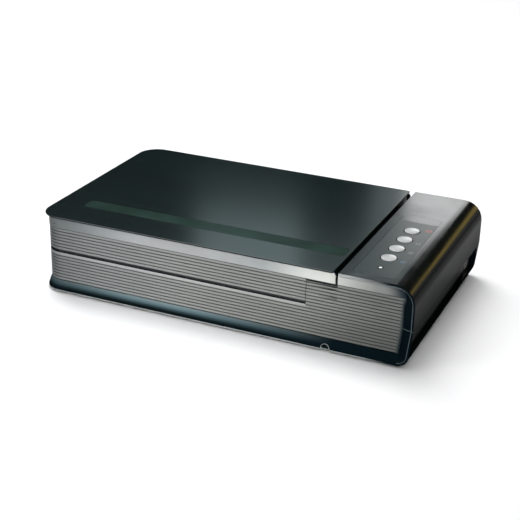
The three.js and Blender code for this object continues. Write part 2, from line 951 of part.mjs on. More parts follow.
function pushButton() {
  const top = height + buttonProud;
  const flangeTop = panelUnder - gap;
  const flangeBottom = flangeTop - buttonFlangeHeight;
  return turned([
    [0, flangeBottom - buttonStem],
    [buttonStemRadius, flangeBottom - buttonStem],
    [buttonStemRadius, flangeBottom],
    [buttonRadius + buttonFlange, flangeBottom],
    [buttonRadius + buttonFlange, flangeTop],
    [buttonRadius, flangeTop],
    [buttonRadius, top - buttonProud / 2],
    [buttonRadius - buttonProud / 2, top],
    [buttonRadius / 2, top + buttonCrown * 0.75],
    [0, top + buttonCrown],
  ]);
}

function buttonBoardTop() {
  const stemBottom = panelUnder - gap - buttonFlangeHeight - buttonStem;
  return stemBottom - switchClearance - switchHeight;
}

function buttonBoardEdges() {
  const front = lightY - buttonBoardMargin / 2;
  const back = buttonFirstY + (buttonCount - 1) * buttonPitch + buttonBoardMargin;
  return [buttonX - buttonBoardWidth / 2, buttonX + buttonBoardWidth / 2, front, back];
}

function buttonBoardCorners() {
  const [x0, x1, y0, y1] = buttonBoardEdges();
  const inset = boardInset - boardStudRadius;
  return [x0 + inset, x1 - inset].flatMap((x) => [y0 + inset, y1 - inset].map((y) => [x, y]));
}

function studHoles(places, bottom, top) {
  return places.map(([x, y]) =>
    bar("z", [x, y], boardStudRadius + gap, bottom - overrun, top + overrun),
  );
}

function buttonBoard() {
  const top = buttonBoardTop();
  const bottom = top - boardThickness;
  const board = box(...buttonBoardEdges(), bottom, top);
  const half = switchSize / 2;
  const switches = buttonPlaces().map(([x, y]) =>
    box(x - half, x + half, y - half, y + half, top - boardThickness / 2, top + switchHeight),
  );
  return cut(join(board, ...switches), ...studHoles(buttonBoardCorners(), bottom, top));
}

function statusLight() {
  const flangeTop = panelUnder - gap;
  const flangeBottom = flangeTop - lightFlange;
  return turned(
    [
      [0, buttonBoardTop() + gap],
      [lightRadius, buttonBoardTop() + gap],
      [lightRadius, flangeBottom],
      [lightRadius + lightFlange, flangeBottom],
      [lightRadius + lightFlange, flangeTop],
      [lightRadius, flangeTop],
      [lightRadius, height],
      [lightRadius / 2, height + lightProud * 0.8],
      [0, height + lightProud],
    ],
  );
}

// How far the book edge has leant in at a height, and the bed's cross sections in (y, z).
function bookEdge(z) {
  return bedEdge + (bookEdgeRun * (deckTop - z)) / (deckTop - basePartTop);
}

function bedSection(front, wall, drop, bottom) {
  const back = bedBack - wall;
  const step = troughFront - wall;
  return shapeOf([
    [front(bottom) + wall, bottom],
    [front(deckTop - drop) + wall, deckTop - drop],
    [step, deckTop - drop],
    [step, troughTop - drop],
    [back, troughTop - drop],
    [back, bottom],
  ]);
}

function bedForm(wall, drop, bottom, right) {
  const square = () => pageInner + gap;
  const leaning = prism("x", bedSection(bookEdge, wall, drop, bottom), bedEdge + wall, right);
  const blockLeft = skirtLength + notchGap + wall;
  const upright = prism("x", bedSection(square, wall, drop, bottom), blockLeft, right);
  const plan = coverPlan(bedEdge + wall, right, pageInner + gap + wall, bedBack - wall);
  return join(leaning, upright).intersect(prism("z", plan, bottom, height));
}

function glassPlan(grow) {
  return rectangle(
    windowLeft - glassLap - grow,
    windowRight + glassLap + grow,
    windowFront - glassLap - grow,
    windowBack + glassLap + grow,
  );
}

// The bed: deck, leaning book edge, ledge round it, seat for the glass and hinge sockets.
function bedFrame() {
  const outer = bedForm(0, 0, bedFoot, bedRight);
  const inner = bedForm(bedWall, deckThickness, bedFoot - overrun, bedRight + overrun);
  const ledgePlan = coverPlan(pageInner + gap, skirtLength + notchGap, pageInner + gap, bedBack);
  const ledge = prism("z", ledgePlan, bedFoot, basePartTop).subtract(inner);
  const rim = prism("z", glassPlan(bedWall), rimBottom, deckTop).intersect(outer);
  const bosses = bossPlaces().map(([x, y]) =>
    bar("z", [x, y], bossRadius, floorTop + gap, y < depth / 2 ? basePartTop : troughTop),
  );
  const shell = join(cut(outer, inner), ledge, rim, ...bosses, ...hingePlaces.map(hingeSocket));
  const windowCut = box(
    windowLeft,
    windowRight,
    windowFront,
    windowBack,
    rimBottom - overrun,
    deckTop + overrun,
  );
  const seat = prism("z", glassPlan(gap), deckTop - glassThickness - gap, deckTop + overrun);
  const pilots = bossPlaces().map(([x, y]) =>
    bar("z", [x, y], screwRadius + gap, floorTop - overrun, footDrop + screwLength + overrun),
  );
  return cut(shell, windowCut, seat, ...pilots, ...hingePlaces.map(postSlot));
}

function hingeSocket(x) {
  const half = postWidth / 2 + slideGap + socketWall;
  const front = hingeY - postDepth / 2 - slideGap - socketWall;
  return box(x - half, x + half, front, bedBack, socketBottom, troughTop);
}

function postSlot(x) {
  const halfX = postWidth / 2 + slideGap;
  const halfY = postDepth / 2 + slideGap;
  const bottom = socketBottom - overrun;
  return box(x - halfX, x + halfX, hingeY - halfY, hingeY + halfY, bottom, troughTop + overrun);
}

function platenGlass() {
  return prism("z", glassPlan(0), deckTop - glassThickness, deckTop);
}

// Sockets and switch, and the plate that they look out of.
function portPlate() {
  const outer = rectangle(
    portFront - portPlateLap,
    portBack + portPlateLap,
    portBottom - portPlateLap,
    portTop + portPlateLap - gap,
  );
  const plate = prism("x", outer, portPlateX, portPlateX + portPlateThickness);
  const hole = (y, width, z0, z1) =>
    box(
      portPlateX - overrun,
      portPlateX + portPlateThickness + overrun,
      y - width / 2 - gap,
      y + width / 2 + gap,
      z0 - gap,
      z1 + gap,
    );
  const onBoard = boardTop + gap;
  return cut(
    plate,
    hole(usbY, usbWidth, onBoard, onBoard + usbHeight),
    hole(jackY, jackWidth, onBoard, onBoard + jackHeight),
    hole(rockerY, rockerWidth, rockerZ - rockerHeight / 2, rockerZ + rockerHeight / 2),
  );
}

function socketFace() {
  return portPlateX + portPlateThickness + socketProud;
}

function usbSocket() {
  const z0 = boardTop + gap;
  const z1 = z0 + usbHeight;
  const right = socketFace();
  const left = right - usbLength;
  const half = usbWidth / 2;
  const shell = box(left, right, usbY - half, usbY + half, z0, z1);
  const chamfer = usbHeight / 4;
  const mouth = outline([
    [usbY - half + usbWall, z0 + usbWall],
    [usbY + half - usbWall, z0 + usbWall],
    [usbY + half - usbWall, z1 - usbWall - chamfer],
    [usbY + half - usbWall - chamfer, z1 - usbWall],
    [usbY - half + usbWall + chamfer, z1 - usbWall],
    [usbY - half + usbWall, z1 - usbWall - chamfer],
  ]);
  const middle = (z0 + z1) / 2;
  const tongue = box(
    left,
    right - usbWall,
    usbY - usbTongueWidth / 2,
    usbY + usbTongueWidth / 2,
    middle - usbTongueHeight / 2,
    middle + usbTongueHeight / 2,
  );
  return shell.subtract(prism("x", mouth, left + usbWall * 3, right + overrun)).add(tongue);
}

function powerJack() {
  const z0 = boardTop + gap;
  const right = socketFace();
  const left = right - jackLength;
  const half = jackWidth / 2;
  const centre = [jackY, z0 + jackHeight / 2];
  const body = box(left, right, jackY - half, jackY + half, z0, z0 + jackHeight);
  const bore = bar("x", centre, jackBore, left + jackPinRadius * 2, right + overrun);
  const pin = bar("x", centre, jackPinRadius, left, right - jackPinRadius);
  return body.subtract(bore).add(pin);
}

function switchHousing() {
  const right = socketFace();
  const left = right - rockerHousingLength;
  const halfY = rockerWidth / 2;
  const halfZ = rockerHeight / 2;
  const body = box(left, right, rockerY - halfY, rockerY + halfY, rockerZ - halfZ, rockerZ + halfZ);
  const well = box(
    right - rockerHousingLength / 2,
    right + overrun,
    rockerY - halfY + rockerWall,
    rockerY + halfY - rockerWall,
    rockerZ - halfZ + rockerWall,
    rockerZ + halfZ - rockerWall,
  );
  const [px, pz] = rockerPivot();
  const pins = [-1, 1].map((side) => {
    const wall = rockerY + side * (halfY - rockerWall / 2);
    const tip = rockerY + side * (halfY - rockerWall * 2);
    return bar("y", [px, pz], rockerPivotRadius, Math.min(wall, tip), Math.max(wall, tip));
  });
  return join(body.subtract(well), ...pins);
}

function rockerPivot() {
  return [socketFace() - rockerHousingLength / 5, rockerZ];
}

// The rocker seen along its pivot: a shallow V face that stands out of the housing at one end.
function powerRocker() {
  const [px, pz] = rockerPivot();
  const halfY = rockerWidth / 2 - rockerWall - gap;
  const halfZ = rockerHeight / 2 - rockerWall - slideGap * 2;
  const reach = socketFace() + rockerProud - px;
  const root = rockerPivotRadius * 2;
  const profile = shapeOf([
    [-root, -root],
    [0, -halfZ],
    [reach - rockerProud / 2, -halfZ],
    [reach - rockerProud, 0],
    [reach - rockerProud / 2, halfZ],
    [0, halfZ],
    [-root, root],
  ]);
  const body = prism("y", profile, -halfY, halfY);
  const socket = bar("y", [0, 0], rockerPivotRadius + gap, -halfY - overrun, halfY + overrun);
  const web = box(-root, reach - rockerProud * 2, -gap, gap, -halfZ / 2, halfZ / 2);
  return { made: join(body.subtract(socket), web), at: [px, rockerY, pz] };
}

function mainBoard() {
  const board = box(boardLeft, boardRight, boardFront, boardBack, boardBottom, boardTop);
  const root = boardTop - boardThickness / 2;
  const middle = (boardLeft + boardRight) / 2;
  const half = chipSize / 2;
  const chipY = (ribbonY + portFront) / 2;
  const chip = box(middle - half, middle + half, chipY - half, chipY + half, root, boardTop + chipHeight);
  const capacitors = [-1, 1].map((side) => {
    const place = [middle + side * (capacitorRadius + overrun), chipY + chipSize];
    return bar("z", place, capacitorRadius, root, boardTop + capacitorHeight);
  });
  const plug = box(
    boardLeft + overrun,
    boardLeft + overrun + connectorDepth,
    ribbonY - connectorWidth / 2,
    ribbonY + connectorWidth / 2,
    root,
    boardTop + connectorHeight,
  );
  return cut(join(board, chip, ...capacitors, plug), ...studHoles(boardCorners(), boardBottom, boardTop));
}

// Guides on the floor.
function guideRod() {
  return bar("x", [rodY, rodZ], rodRadius, rodLeft, rodRight);
}

function rodBracket(side) {
  const x = side < 0 ? rodLeft : rodRight;
  const inner = x - side * bracketThickness;
  const half = bracketWidth / 2;
  const bottom = floorTop + gap;
  const upright = outline([
    [rodY - half, bottom],
    [rodY + half, bottom],
    [rodY + bracketCap, rodZ + bracketCap, bracketCap / 2],
    [rodY - bracketCap, rodZ + bracketCap, bracketCap / 2],
  ]);
  const wall = prism("x", upright, Math.min(x, inner), Math.max(x, inner));
  const toe = x - side * bracketFootLength;
  const sole = box(Math.min(x, toe), Math.max(x, toe), rodY - half, rodY + half, bottom, bottom + bracketFootHeight);
  const bore = bar("x", [rodY, rodZ], rodRadius + gap, rodLeft - overrun, rodRight + overrun);
  return join(wall, sole).subtract(bore);
}

function slideRail() {
  const bottom = floorTop + gap;
  const top = railTop;
  const web = railWeb / 2;
  const flange = railFlange / 2;
  const section = shapeOf([
    [railY - flange, bottom],
    [railY + flange, bottom],
    [railY + flange, bottom + railFlangeThickness],
    [railY + web, bottom + railFlangeThickness],
    [railY + web, top - railFlangeThickness],
    [railY + flange, top - railFlangeThickness],
    [railY + flange, top],
    [railY - flange, top],
    [railY - flange, top - railFlangeThickness],
    [railY - web, top - railFlangeThickness],
    [railY - web, bottom + railFlangeThickness],
    [railY - flange, bottom + railFlangeThickness],
  ]);
  return prism("x", section, rodLeft, rodRight);
}

// The carriage: its front end leans like the book edge, so that it reads right up to it.
function carriageBody() {
  const lean = (z) => bookEdge(z) + bedWall + carriageFrontGap;
  const side = shapeOf([
    [lean(basePartTop), carriageBottom],
    [lean(basePartTop), basePartTop],
    [lean(carriageTop), carriageTop],
    [carriageBack, carriageTop],
    [carriageBack, carriageBottom],
  ]);
  const left = carriageHome - carriageHalf;
  const right = carriageHome + carriageHalf;
  const plan = outline([
    [left, lean(carriageTop), carriageCorner],
    [right, lean(carriageTop), carriageCorner],
    [right, carriageBack],
    [left, carriageBack],
  ]);
  const body = prism("x", side, left, right).intersect(prism("z", plan, carriageBottom, carriageTop));
  const lug = box(
    carriageHome - lugHalf,
    carriageHome + lugHalf,
    lugFront,
    lugBack,
    lugBottom,
    carriageBottom + overrun,
  );
  const pads = [-1, 1].map((end) => {
    const x = carriageHome + end * (carriageHalf - padLength);
    return box(
      x - padLength / 2,
      x + padLength / 2,
      railY - padWidth / 2,
      railY + padWidth / 2,
      railTop + gap,
      carriageBottom + overrun,
    );
  });
  const half = slitWidth / 2;
  const [slitFront, slitBack] = slitEnds();
  const slit = box(
    carriageHome - half,
    carriageHome + half,
    slitFront,
    slitBack,
    carriageTop - slitDepth,
    carriageTop + overrun,
  );
  const barHalf = lightBarWidth / 2 + gap;
  const barX = carriageHome + lightBarOffset;
  const groove = box(
    barX - barHalf,
    barX + barHalf,
    slitFront - gap,
    slitBack + gap,
    carriageTop - lightBarHeight - gap,
    carriageTop + overrun,
  );
  const boreRadius = bushingRadius + gap;
  const bore = bar("x", [rodY, rodZ], boreRadius, carriageHome - lugHalf - overrun, carriageHome + lugHalf + overrun);
  return cut(join(body, lug, ...pads), slit, groove, bore);
}

function slitEnds() {
  return [bookEdge(carriageTop) + slitEndGap / 3, carriageBack - slitEndGap];
}

function carriageBushing() {
  const inner = rodRadius + rodClearance;
  const sleeve = bar("x", [rodY, rodZ], bushingRadius, carriageHome - lugHalf, carriageHome + lugHalf);
  return sleeve.subtract(
    bar("x", [rodY, rodZ], inner, carriageHome - lugHalf - overrun, carriageHome + lugHalf + overrun),
  );
}

function lightBar() {
  const x = carriageHome + lightBarOffset;
  const half = lightBarWidth / 2;
  const [slitFront, slitBack] = slitEnds();
  return box(
    x - half,
    x + half,
    slitFront,
    slitBack,
    carriageTop - lightBarHeight,
    carriageTop,
  );
}

function sensorBoard() {
  const top = carriageBottom - gap;
  const bottom = top - boardThickness;
  const board = box(
    carriageHome - sensorBoardHalf,
    carriageHome + sensorBoardHalf,
    sensorBoardFront,
    sensorBoardBack,
    bottom,
    top,
  );
  const plug = box(
    carriageHome + sensorBoardHalf - connectorDepth,
    carriageHome + sensorBoardHalf,
    ribbonY - connectorWidth / 2,
    ribbonY + connectorWidth / 2,
    bottom - connectorHeight / 2,
    top - boardThickness / 2,
  );
  return join(board, plug);
}

function beltClip() {
  const x = carriageHome + clipOffset;
  const top = lugBottom - gap;
  const roof = top - clipRoof;
  const backOfBelt = beltFrontY - beltBack - gap;
  const tipsOfTeeth = beltFrontY + beltLand + beltToothHeight + gap;
  const jaw = (y0, y1) => box(x - clipHalf, x + clipHalf, y0, y1, beltBottom, roof + overrun);
  const arm = box(x - clipHalf, x + clipHalf, lugFront, tipsOfTeeth + clipJaw, roof, top);
  return join(arm, jaw(backOfBelt - clipJaw, backOfBelt), jaw(tipsOfTeeth, tipsOfTeeth + clipJaw));
}

// A place on the belt's pitch line, counted from where the front run leaves the idler, moved
// in towards the middle of the loop.
function onBelt(distance, inward) {
  const span = driveX - idlerX;
  const halfTurn = Math.PI * pulleyRadius;
  const loop = 2 * (span + halfTurn);
  const s = ((distance % loop) + loop) % loop;
  const radius = pulleyRadius - inward;
  if (s < span) return [idlerX + s, beltRearY - radius];
  if (s < span + halfTurn) {
    const angle = (s - span) / pulleyRadius - Math.PI / 2;
    return [driveX + radius * Math.cos(angle), beltRearY + radius * Math.sin(angle)];
  }
  if (s < 2 * span + halfTurn) return [driveX - (s - span - halfTurn), beltRearY + radius];
  const angle = (s - 2 * span - halfTurn) / pulleyRadius + Math.PI / 2;
  return [idlerX + radius * Math.cos(angle), beltRearY + radius * Math.sin(angle)];
}

function driveBelt() {
  const inside = [];
  for (let tooth = 0; tooth < beltTeeth; tooth++) {
    const middle = (tooth + 0.5) * beltPitch;
    inside.push(onBelt(middle - beltToothRoot / 2, beltLand));
    inside.push(onBelt(middle, beltLand + beltToothHeight));
    inside.push(onBelt(middle + beltToothRoot / 2, beltLand));
  }
  const outer = pulleyRadius + beltBack;
  const outside = [
    ...arc(driveX, beltRearY, outer, -Math.PI / 2, Math.PI / 2, pulleyTeeth),
    ...arc(idlerX, beltRearY, outer, Math.PI / 2, (Math.PI * 3) / 2, pulleyTeeth),
  ];
  const shape = shapeOf(outside);
  shape.holes.push(new THREE.Path(inside.map(([x, y]) => new THREE.Vector2(x, y))));
  return prism("z", shape, beltBottom, beltTop);
}

function pulleyShape() {
  const top = pulleyRadius - beltLand - pulleyClearance;
  const bottom = pulleyRadius - beltLand - beltToothHeight - pulleyClearance;
  const mouth = (beltToothRoot / 2 + pulleyClearance) / pulleyRadius;
  const floor = pulleyClearance / pulleyRadius;
  const points = [];
  for (let tooth = 0; tooth < pulleyTeeth; tooth++) {
    const middle = ((tooth + 0.5) * 2 * Math.PI) / pulleyTeeth;
    for (const [radius, angle] of [[top, -mouth], [bottom, -floor], [bottom, floor], [top, mouth]]) {
      points.push([radius * Math.cos(middle + angle), radius * Math.sin(middle + angle)]);
    }
  }
  return shapeOf(points);
}

function beltPulley(bottom, top) {
  const flangeRadius = pulleyRadius + beltBack + gap;
  const middle = prism("z", pulleyShape(), bottom + pulleyFlange / 2, top - pulleyFlange / 2);
  const flange = (z) => bar("z", [0, 0], flangeRadius, z, z + pulleyFlange);
  return join(middle, flange(bottom), flange(top - pulleyFlange));
}

// Outline of an involute gear whose first tooth points at an angle.
function gearShape(teeth, firstTooth) {
  const pitch = (gearModule * teeth) / 2;
  const base = pitch * Math.cos(pressureAngle);
  const tip = pitch + gearModule * addendumShare;
  const root = pitch - gearModule * dedendumShare;
  const involute = (angle) => Math.tan(angle) - angle;
  const halfAtPitch = Math.PI / (2 * teeth) - gearBacklash / (2 * pitch);
  const start = Math.max(base, root);
  const halfAt = (radius) =>
    halfAtPitch + involute(pressureAngle) - involute(Math.acos(Math.min(1, base / radius)));
  const flank = [root, (start + tip) / 2, tip].map((radius) => [radius, halfAt(Math.max(radius, start))]);
  const points = [];
  for (let tooth = 0; tooth < teeth; tooth++) {
    const middle = firstTooth + (tooth * 2 * Math.PI) / teeth;
    const rising = flank.map(([radius, half]) => [radius, middle - half]);
    const falling = flank.map(([radius, half]) => [radius, middle + half]).reverse();
    for (const [radius, angle] of [...rising, ...falling]) {
      points.push([radius * Math.cos(angle), radius * Math.sin(angle)]);
    }
  }
  return shapeOf(points);
}

function driveGear() {
  const gear = prism("z", gearShape(gearTeeth, motorBearing), gearBottom, gearTop);
  const pulley = beltPulley(pulleyBottom, gearBottom + gap);
  const bore = bar("z", [0, 0], gearPinRadius + gap, pulleyBottom - overrun, gearTop + overrun);
  return join(gear, pulley).subtract(bore);
}

function motorPinion() {
  const facing = motorBearing + Math.PI + Math.PI / pinionTeeth;
  const teeth = prism("z", gearShape(pinionTeeth, facing), gearBottom - gap, gearTop + gap);
  const shaft = bar("z", [0, 0], shaftRadius, gearBottom - gap, motorPlateTop + motorHeight / 2);
  return join(teeth, shaft);
}

function gearPin() {
  const head = gearPinHeadHeight;
  const bottom = pulleyBottom - gap - head;
  return turned(
    [
      [0, bottom],
      [gearPinHead, bottom],
      [gearPinHead, bottom + head],
      [gearPinRadius, bottom + head],
      [gearPinRadius, motorPlateTop + gap],
      [gearPinHead, motorPlateTop + gap],
      [gearPinHead, motorPlateTop + gap + head],
      [0, motorPlateTop + gap + head],
    ],
  );
}

function motorPlate() {
  const left = driveX - motorPlateLeftReach;
  const right = driveX + motorPlateRightReach;
  const front = beltRearY - motorPlateFrontReach;
  const back = beltRearY + motorPlateBackReach;
  const plan = outline([
    [left, front, motorPostRadius],
    [right, front, motorPostRadius],
    [right, motorY + motorRadius, motorPostRadius],
    [motorPosts[1][0] + motorPostRadius * 2, back, motorPostRadius],
    [left, back, motorPostRadius],
  ]);
  const plate = prism("z", plan, motorPlateBottom, motorPlateTop);
  const pinHole = [driveX, beltRearY];
  const shaftHole = [motorX, motorY];
  return cut(
    plate,
    bar("z", pinHole, gearPinRadius + gap, motorPlateBottom - overrun, motorPlateTop + overrun),
    bar("z", shaftHole, shaftRadius * 2, motorPlateBottom - overrun, motorPlateTop + overrun),
    ...studHoles(motorPosts, motorPlateBottom, motorPlateTop),
  );
}

function motor() {
  const bottom = motorPlateTop + gap;
  const can = bar("z", [0, 0], motorRadius, bottom, bottom + motorHeight);
  const ear = outline([
    [-motorEar, -motorEarHalf, motorEarHalf - gap],
    [motorEar, -motorEarHalf, motorEarHalf - gap],
    [motorEar, motorEarHalf, motorEarHalf - gap],
    [-motorEar, motorEarHalf, motorEarHalf - gap],
  ]);
  const ears = prism("z", ear, bottom, bottom + motorEarThickness);
  const bore = bar("z", [0, 0], shaftRadius + gap, bottom - overrun, bottom + motorHeight / 2 + overrun);
  return join(can, ears).subtract(bore);
}

function idlerPulley() {
  const pulley = beltPulley(pulleyBottom, gearBottom + gap);
  return pulley.subtract(
    bar("z", [0, 0], gearPinRadius + gap, pulleyBottom - overrun, gearBottom + overrun),
  );
}

// The idler's slide: a plate on two floor rails, its pin, and the tab that the spring pushes.
function idlerSlide() {
  const top = slideBottom + slideThickness;
  const left = -slideHalf;
  const plate = box(left, left + slideLength, -slideHalf, slideHalf, slideBottom, top);
  const tab = box(
    left + slideLength - slideThickness,
    left + slideLength,
    -springWallHalf / 2,
    springWallHalf / 2,
    slideBottom - slideTab,
    top,
  );
  const washer = bar("z", [0, 0], gearPinHead, top - slideThickness / 2, pulleyBottom - gap);
  const pin = bar("z", [0, 0], gearPinRadius, top - slideThickness / 2, gearBottom + gap * 2 + gearPinHeadHeight);
  return join(plate, tab, washer, pin);
}

class Helix extends THREE.Curve {
  getPoint(share) {
    const angle = share * springTurns * 2 * Math.PI;
    const x = mix(springWire + gap, springLength - springWire - gap, share);
    return new THREE.Vector3(x, springRadius * Math.cos(angle), springRadius * Math.sin(angle));
  }
}

function beltSpring() {
  const wire = shapeOf(arc(0, 0, springWire, 0, 2 * Math.PI, wireSides).slice(1));
  const steps = springTurns * stepsPerTurn;
  return solid(new THREE.ExtrudeGeometry(wire, { extrudePath: new Helix(), steps }));
}

// The flat cable from the carriage: back under it, round to the floor and along to the board.
function ribbonCable() {
  const top = carriageBottom - gap - boardThickness - connectorHeight / 2 - gap;
  const ribbonBend = (top - ribbonFloor) / 2;
  const bendZ = top - ribbonBend;
  const bendX = carriageHome;
  const steps = facets(ribbonBend, Math.PI);
  const toBend = arc(bendX, bendZ, ribbonBend, Math.PI / 2, (Math.PI * 3) / 2, steps);
  const inside = arc(bendX, bendZ, ribbonBend - ribbonThickness, Math.PI / 2, (Math.PI * 3) / 2, steps);
  const start = carriageHome + sensorBoardHalf - connectorDepth / 2;
  const floor = bendZ - ribbonBend;
  const rise = boardTop + connectorHeight + gap;
  const foot = boardLeft - ribbonRise;
  const plug = boardLeft + overrun + connectorDepth / 2;
  const centre = [
    [start, top],
    ...toBend,
    [foot - ribbonRise, floor],
    [foot, rise],
    [plug, rise],
  ];
  const back = [
    [plug, rise + ribbonThickness],
    [foot - ribbonThickness, rise + ribbonThickness],
    [foot - ribbonRise - ribbonThickness, floor + ribbonThickness],
    ...inside.reverse(),
    [start, top - ribbonThickness],
  ];
  const half = ribbonWidth / 2;
  return prism("y", shapeOf([...centre, ...back]), ribbonY - half, ribbonY + half);
}

// Lid: plate, silver frame with its own boards, inlay, liner and pad, and the hinge arms.
function lidPlate() {
  const edge = outline([
    [lidPlateBevel, lidPlateBevel, coverCorner],
    [lidRight - lidPlateBevel, lidPlateBevel, lidRightRadius],
    [lidRight - lidPlateBevel, depth - lidPlateBevel, lidRightRadius],
    [lidPlateBevel, depth - lidPlateBevel, coverCorner],
  ]);
  const geometry = new THREE.ExtrudeGeometry(edge, {
    depth: lidPlateThickness - 2 * lidPlateBevel,
    bevelThickness: lidPlateBevel,
    bevelSize: lidPlateBevel,
    bevelSegments: 2,
  });
  geometry.translate(0, 0, lidUnder + lidPlateBevel);
  const flange = box(
    lidRight - lidFlange,
    lidRight,
    pageInner + gap,
    depth - pageInner - gap,
    bandBottom,
    lidUnder + lidPlateThickness / 2,
  );
  return cut(join(solid(geometry), flange), stripeBody(gap, height - stripeDepth - gap, height + overrun));
}

function stripeBody(grow, bottom, top) {
  const plan = rectangle(
    stripeLeft - grow,
    lidRight - stripeRightMargin + grow,
    stripeFront - grow,
    stripeFront + stripeWidth + grow,
    stripeRadius,
  );
  return prism("z", plan, bottom, top);
}

function lidFrame() {
  const right = lidRight + lidFrameOverhang;
  const ring = pageRing(right, pageCount - lidPageCount, lidFrameTop, 1, 1);
  const bottom = pagesBottom + (pageCount - lidPageCount) * pagePitch - overrun;
  const sliver = box(-overrun, right + overrun, -overrun, depth + overrun, bottom, lidPartBottom);
  const notch = box(skirtLength, right + overrun, -overrun, depth / 2, bottom, bandBottom);
  const rear = box(-overrun, right + overrun, skirtBack, depth + overrun, bottom, hingeZ);
  const postHalf = postWidth / 2 + slideGap;
  const postNotches = hingePlaces.map((x) =>
    box(x - postHalf, x + postHalf, skirtBack, depth + overrun, bottom, hingeZ + postDepth / 2 + slideGap),
  );
  return cut(ring, sliver, notch, rear, ...postNotches, noseCut(right, lidFrameTop, lidNoseRadius, -1));
}

function lidLiner() {
  const bottom = deckTop + gap + padThickness + gap;
  const top = bottom + linerThickness;
  const plan = coverPlan(pageInner + gap, lidRight - lidFlange - gap, pageInner + gap, troughFront);
  const plate = prism("z", plan, bottom, top);
  const xs = [stripeLeft, lidRight / 2, lidRight - stripeLeft];
  const ys = [stripeFront + stripeWidth, troughFront - stripeFront];
  const posts = xs.flatMap((x) =>
    ys.map((y) => bar("z", [x, y], linerPostRadius, bottom + linerThickness / 2, lidUnder - gap)),
  );
  return join(plate, ...posts);
}

function documentPad() {
  const bottom = deckTop + gap;
  const plan = rectangle(
    windowLeft - padMargin,
    windowRight + padMargin,
    windowFront,
    windowBack + padMargin,
    padMargin,
  );
  return prism("z", plan, bottom, bottom + padThickness);
}

function hingeArm() {
  const half = postWidth / 2 + slideGap;
  const plateTop = lidUnder - gap - hingeZ;
  const plateBottom = plateTop - armThickness;
  const plate = box(-half - earWidth, half + earWidth, -armLength, knuckleRadius, plateBottom, plateTop);
  const ears = [-1, 1].map((side) => {
    const from = side < 0 ? -half - earWidth : half;
    const ear = outline([
      [-knuckleRadius * 3, plateBottom + armThickness / 2],
      [-knuckleRadius, -knuckleRadius, knuckleRadius - gap],
      [knuckleRadius, -knuckleRadius, knuckleRadius - gap],
      [knuckleRadius, plateBottom + armThickness / 2],
    ]);
    return prism("x", ear, from, from + earWidth);
  });
  const reach = half + earWidth + overrun;
  return cut(join(plate, ...ears), bar("x", [0, 0], pinRadius + gap, -reach, reach));
}

function hingePost() {
  const half = postWidth / 2;
  const bottom = postBottom - hingeZ;
  const side = outline([
    [-postDepth / 2, bottom],
    [postDepth / 2, bottom],
    [postDepth / 2, 0],
    [postDepth / 2, knuckleRadius, postDepth / 2 - gap],
    [-postDepth / 2, knuckleRadius, postDepth / 2 - gap],
    [-postDepth / 2, 0],
  ]);
  const stem = prism("x", side, -half, half);
  const footHalf = postFootWidth / 2;
  const flange = box(-footHalf, footHalf, -postDepth / 2, postDepth / 2, bottom, bottom + postFootHeight);
  const bore = bar("x", [0, 0], pinRadius + gap, -half - overrun, half + overrun);
  return join(stem, flange).subtract(bore);
}

function hingePin() {
  const half = postWidth / 2 + slideGap + earWidth + gap;
  const shank = bar("x", [0, 0], pinRadius, -half - pinHeadLength, half + pinHeadLength);
  const head = (x) => bar("x", [0, 0], pinHeadRadius, x, x + pinHeadLength);
  return join(shank, head(half), head(-half - pinHeadLength));
}

// Assembly
function piece(name, made, material, place = [0, 0, 0]) {
  const data = made.getMesh();
  const geometry = new THREE.BufferGeometry();
  geometry.setAttribute("position", new THREE.BufferAttribute(data.vertProperties, 3));
  geometry.setIndex(new THREE.BufferAttribute(data.triVerts, 1));
  const mesh = new THREE.Mesh(toCreasedNormals(geometry, creaseAngle), material);
  mesh.name = name;
  mesh.position.set(...place);
  return mesh;
}

function buildCase() {
  const group = new THREE.Group();
  group.add(
    piece("bottom_cover", bottomCover(), blackShell),
    piece("page_wall", pageWallRing(), pageSilver),
    piece("spine_cover", spineCover(), blackShell),
    piece("bed_frame", bedFrame(), darkPlastic),
    piece("platen_glass", platenGlass(), glassTint),
    piece("panel_overlay", panelOverlay(), overlayGrey),
    piece("status_light", statusLight(), whitePlastic, [buttonX, lightY, 0]),
    piece("button_board", buttonBoard(), boardGreen),
  );
  footPlaces().forEach(([x, y], i) => group.add(piece(`foot_${i + 1}`, foot(), rubberBlack, [x, y, 0])));
  bossPlaces().forEach(([x, y], i) => {
    group.add(piece(`case_screw_${i + 1}`, screw(), zinc, [x, y, footDrop + coverWall / 2 - gap - screwHeadHeight]));
  });
  return group;
}

function buildButtons() {
  const group = new THREE.Group();
  buttonPlaces().forEach(([x, y], i) => {
    group.add(piece(`scan_button_${i + 1}`, pushButton(), buttonSilver, [x, y, 0]));
  });
  return group;
}

function buildPorts() {
  const group = new THREE.Group();
  const rocker = powerRocker();
  const rockerMesh = piece("power_rocker", rocker.made, overlayGrey, rocker.at);
  rockerMesh.rotation.y = rockerTilt;
  group.add(
    piece("port_plate", portPlate(), darkPlastic),
    piece("usb_socket", usbSocket(), zinc),
    piece("power_jack", powerJack(), darkPlastic),
    piece("switch_housing", switchHousing(), darkPlastic),
    rockerMesh,
    piece("main_board", mainBoard(), boardGreen),
  );
  return group;
}

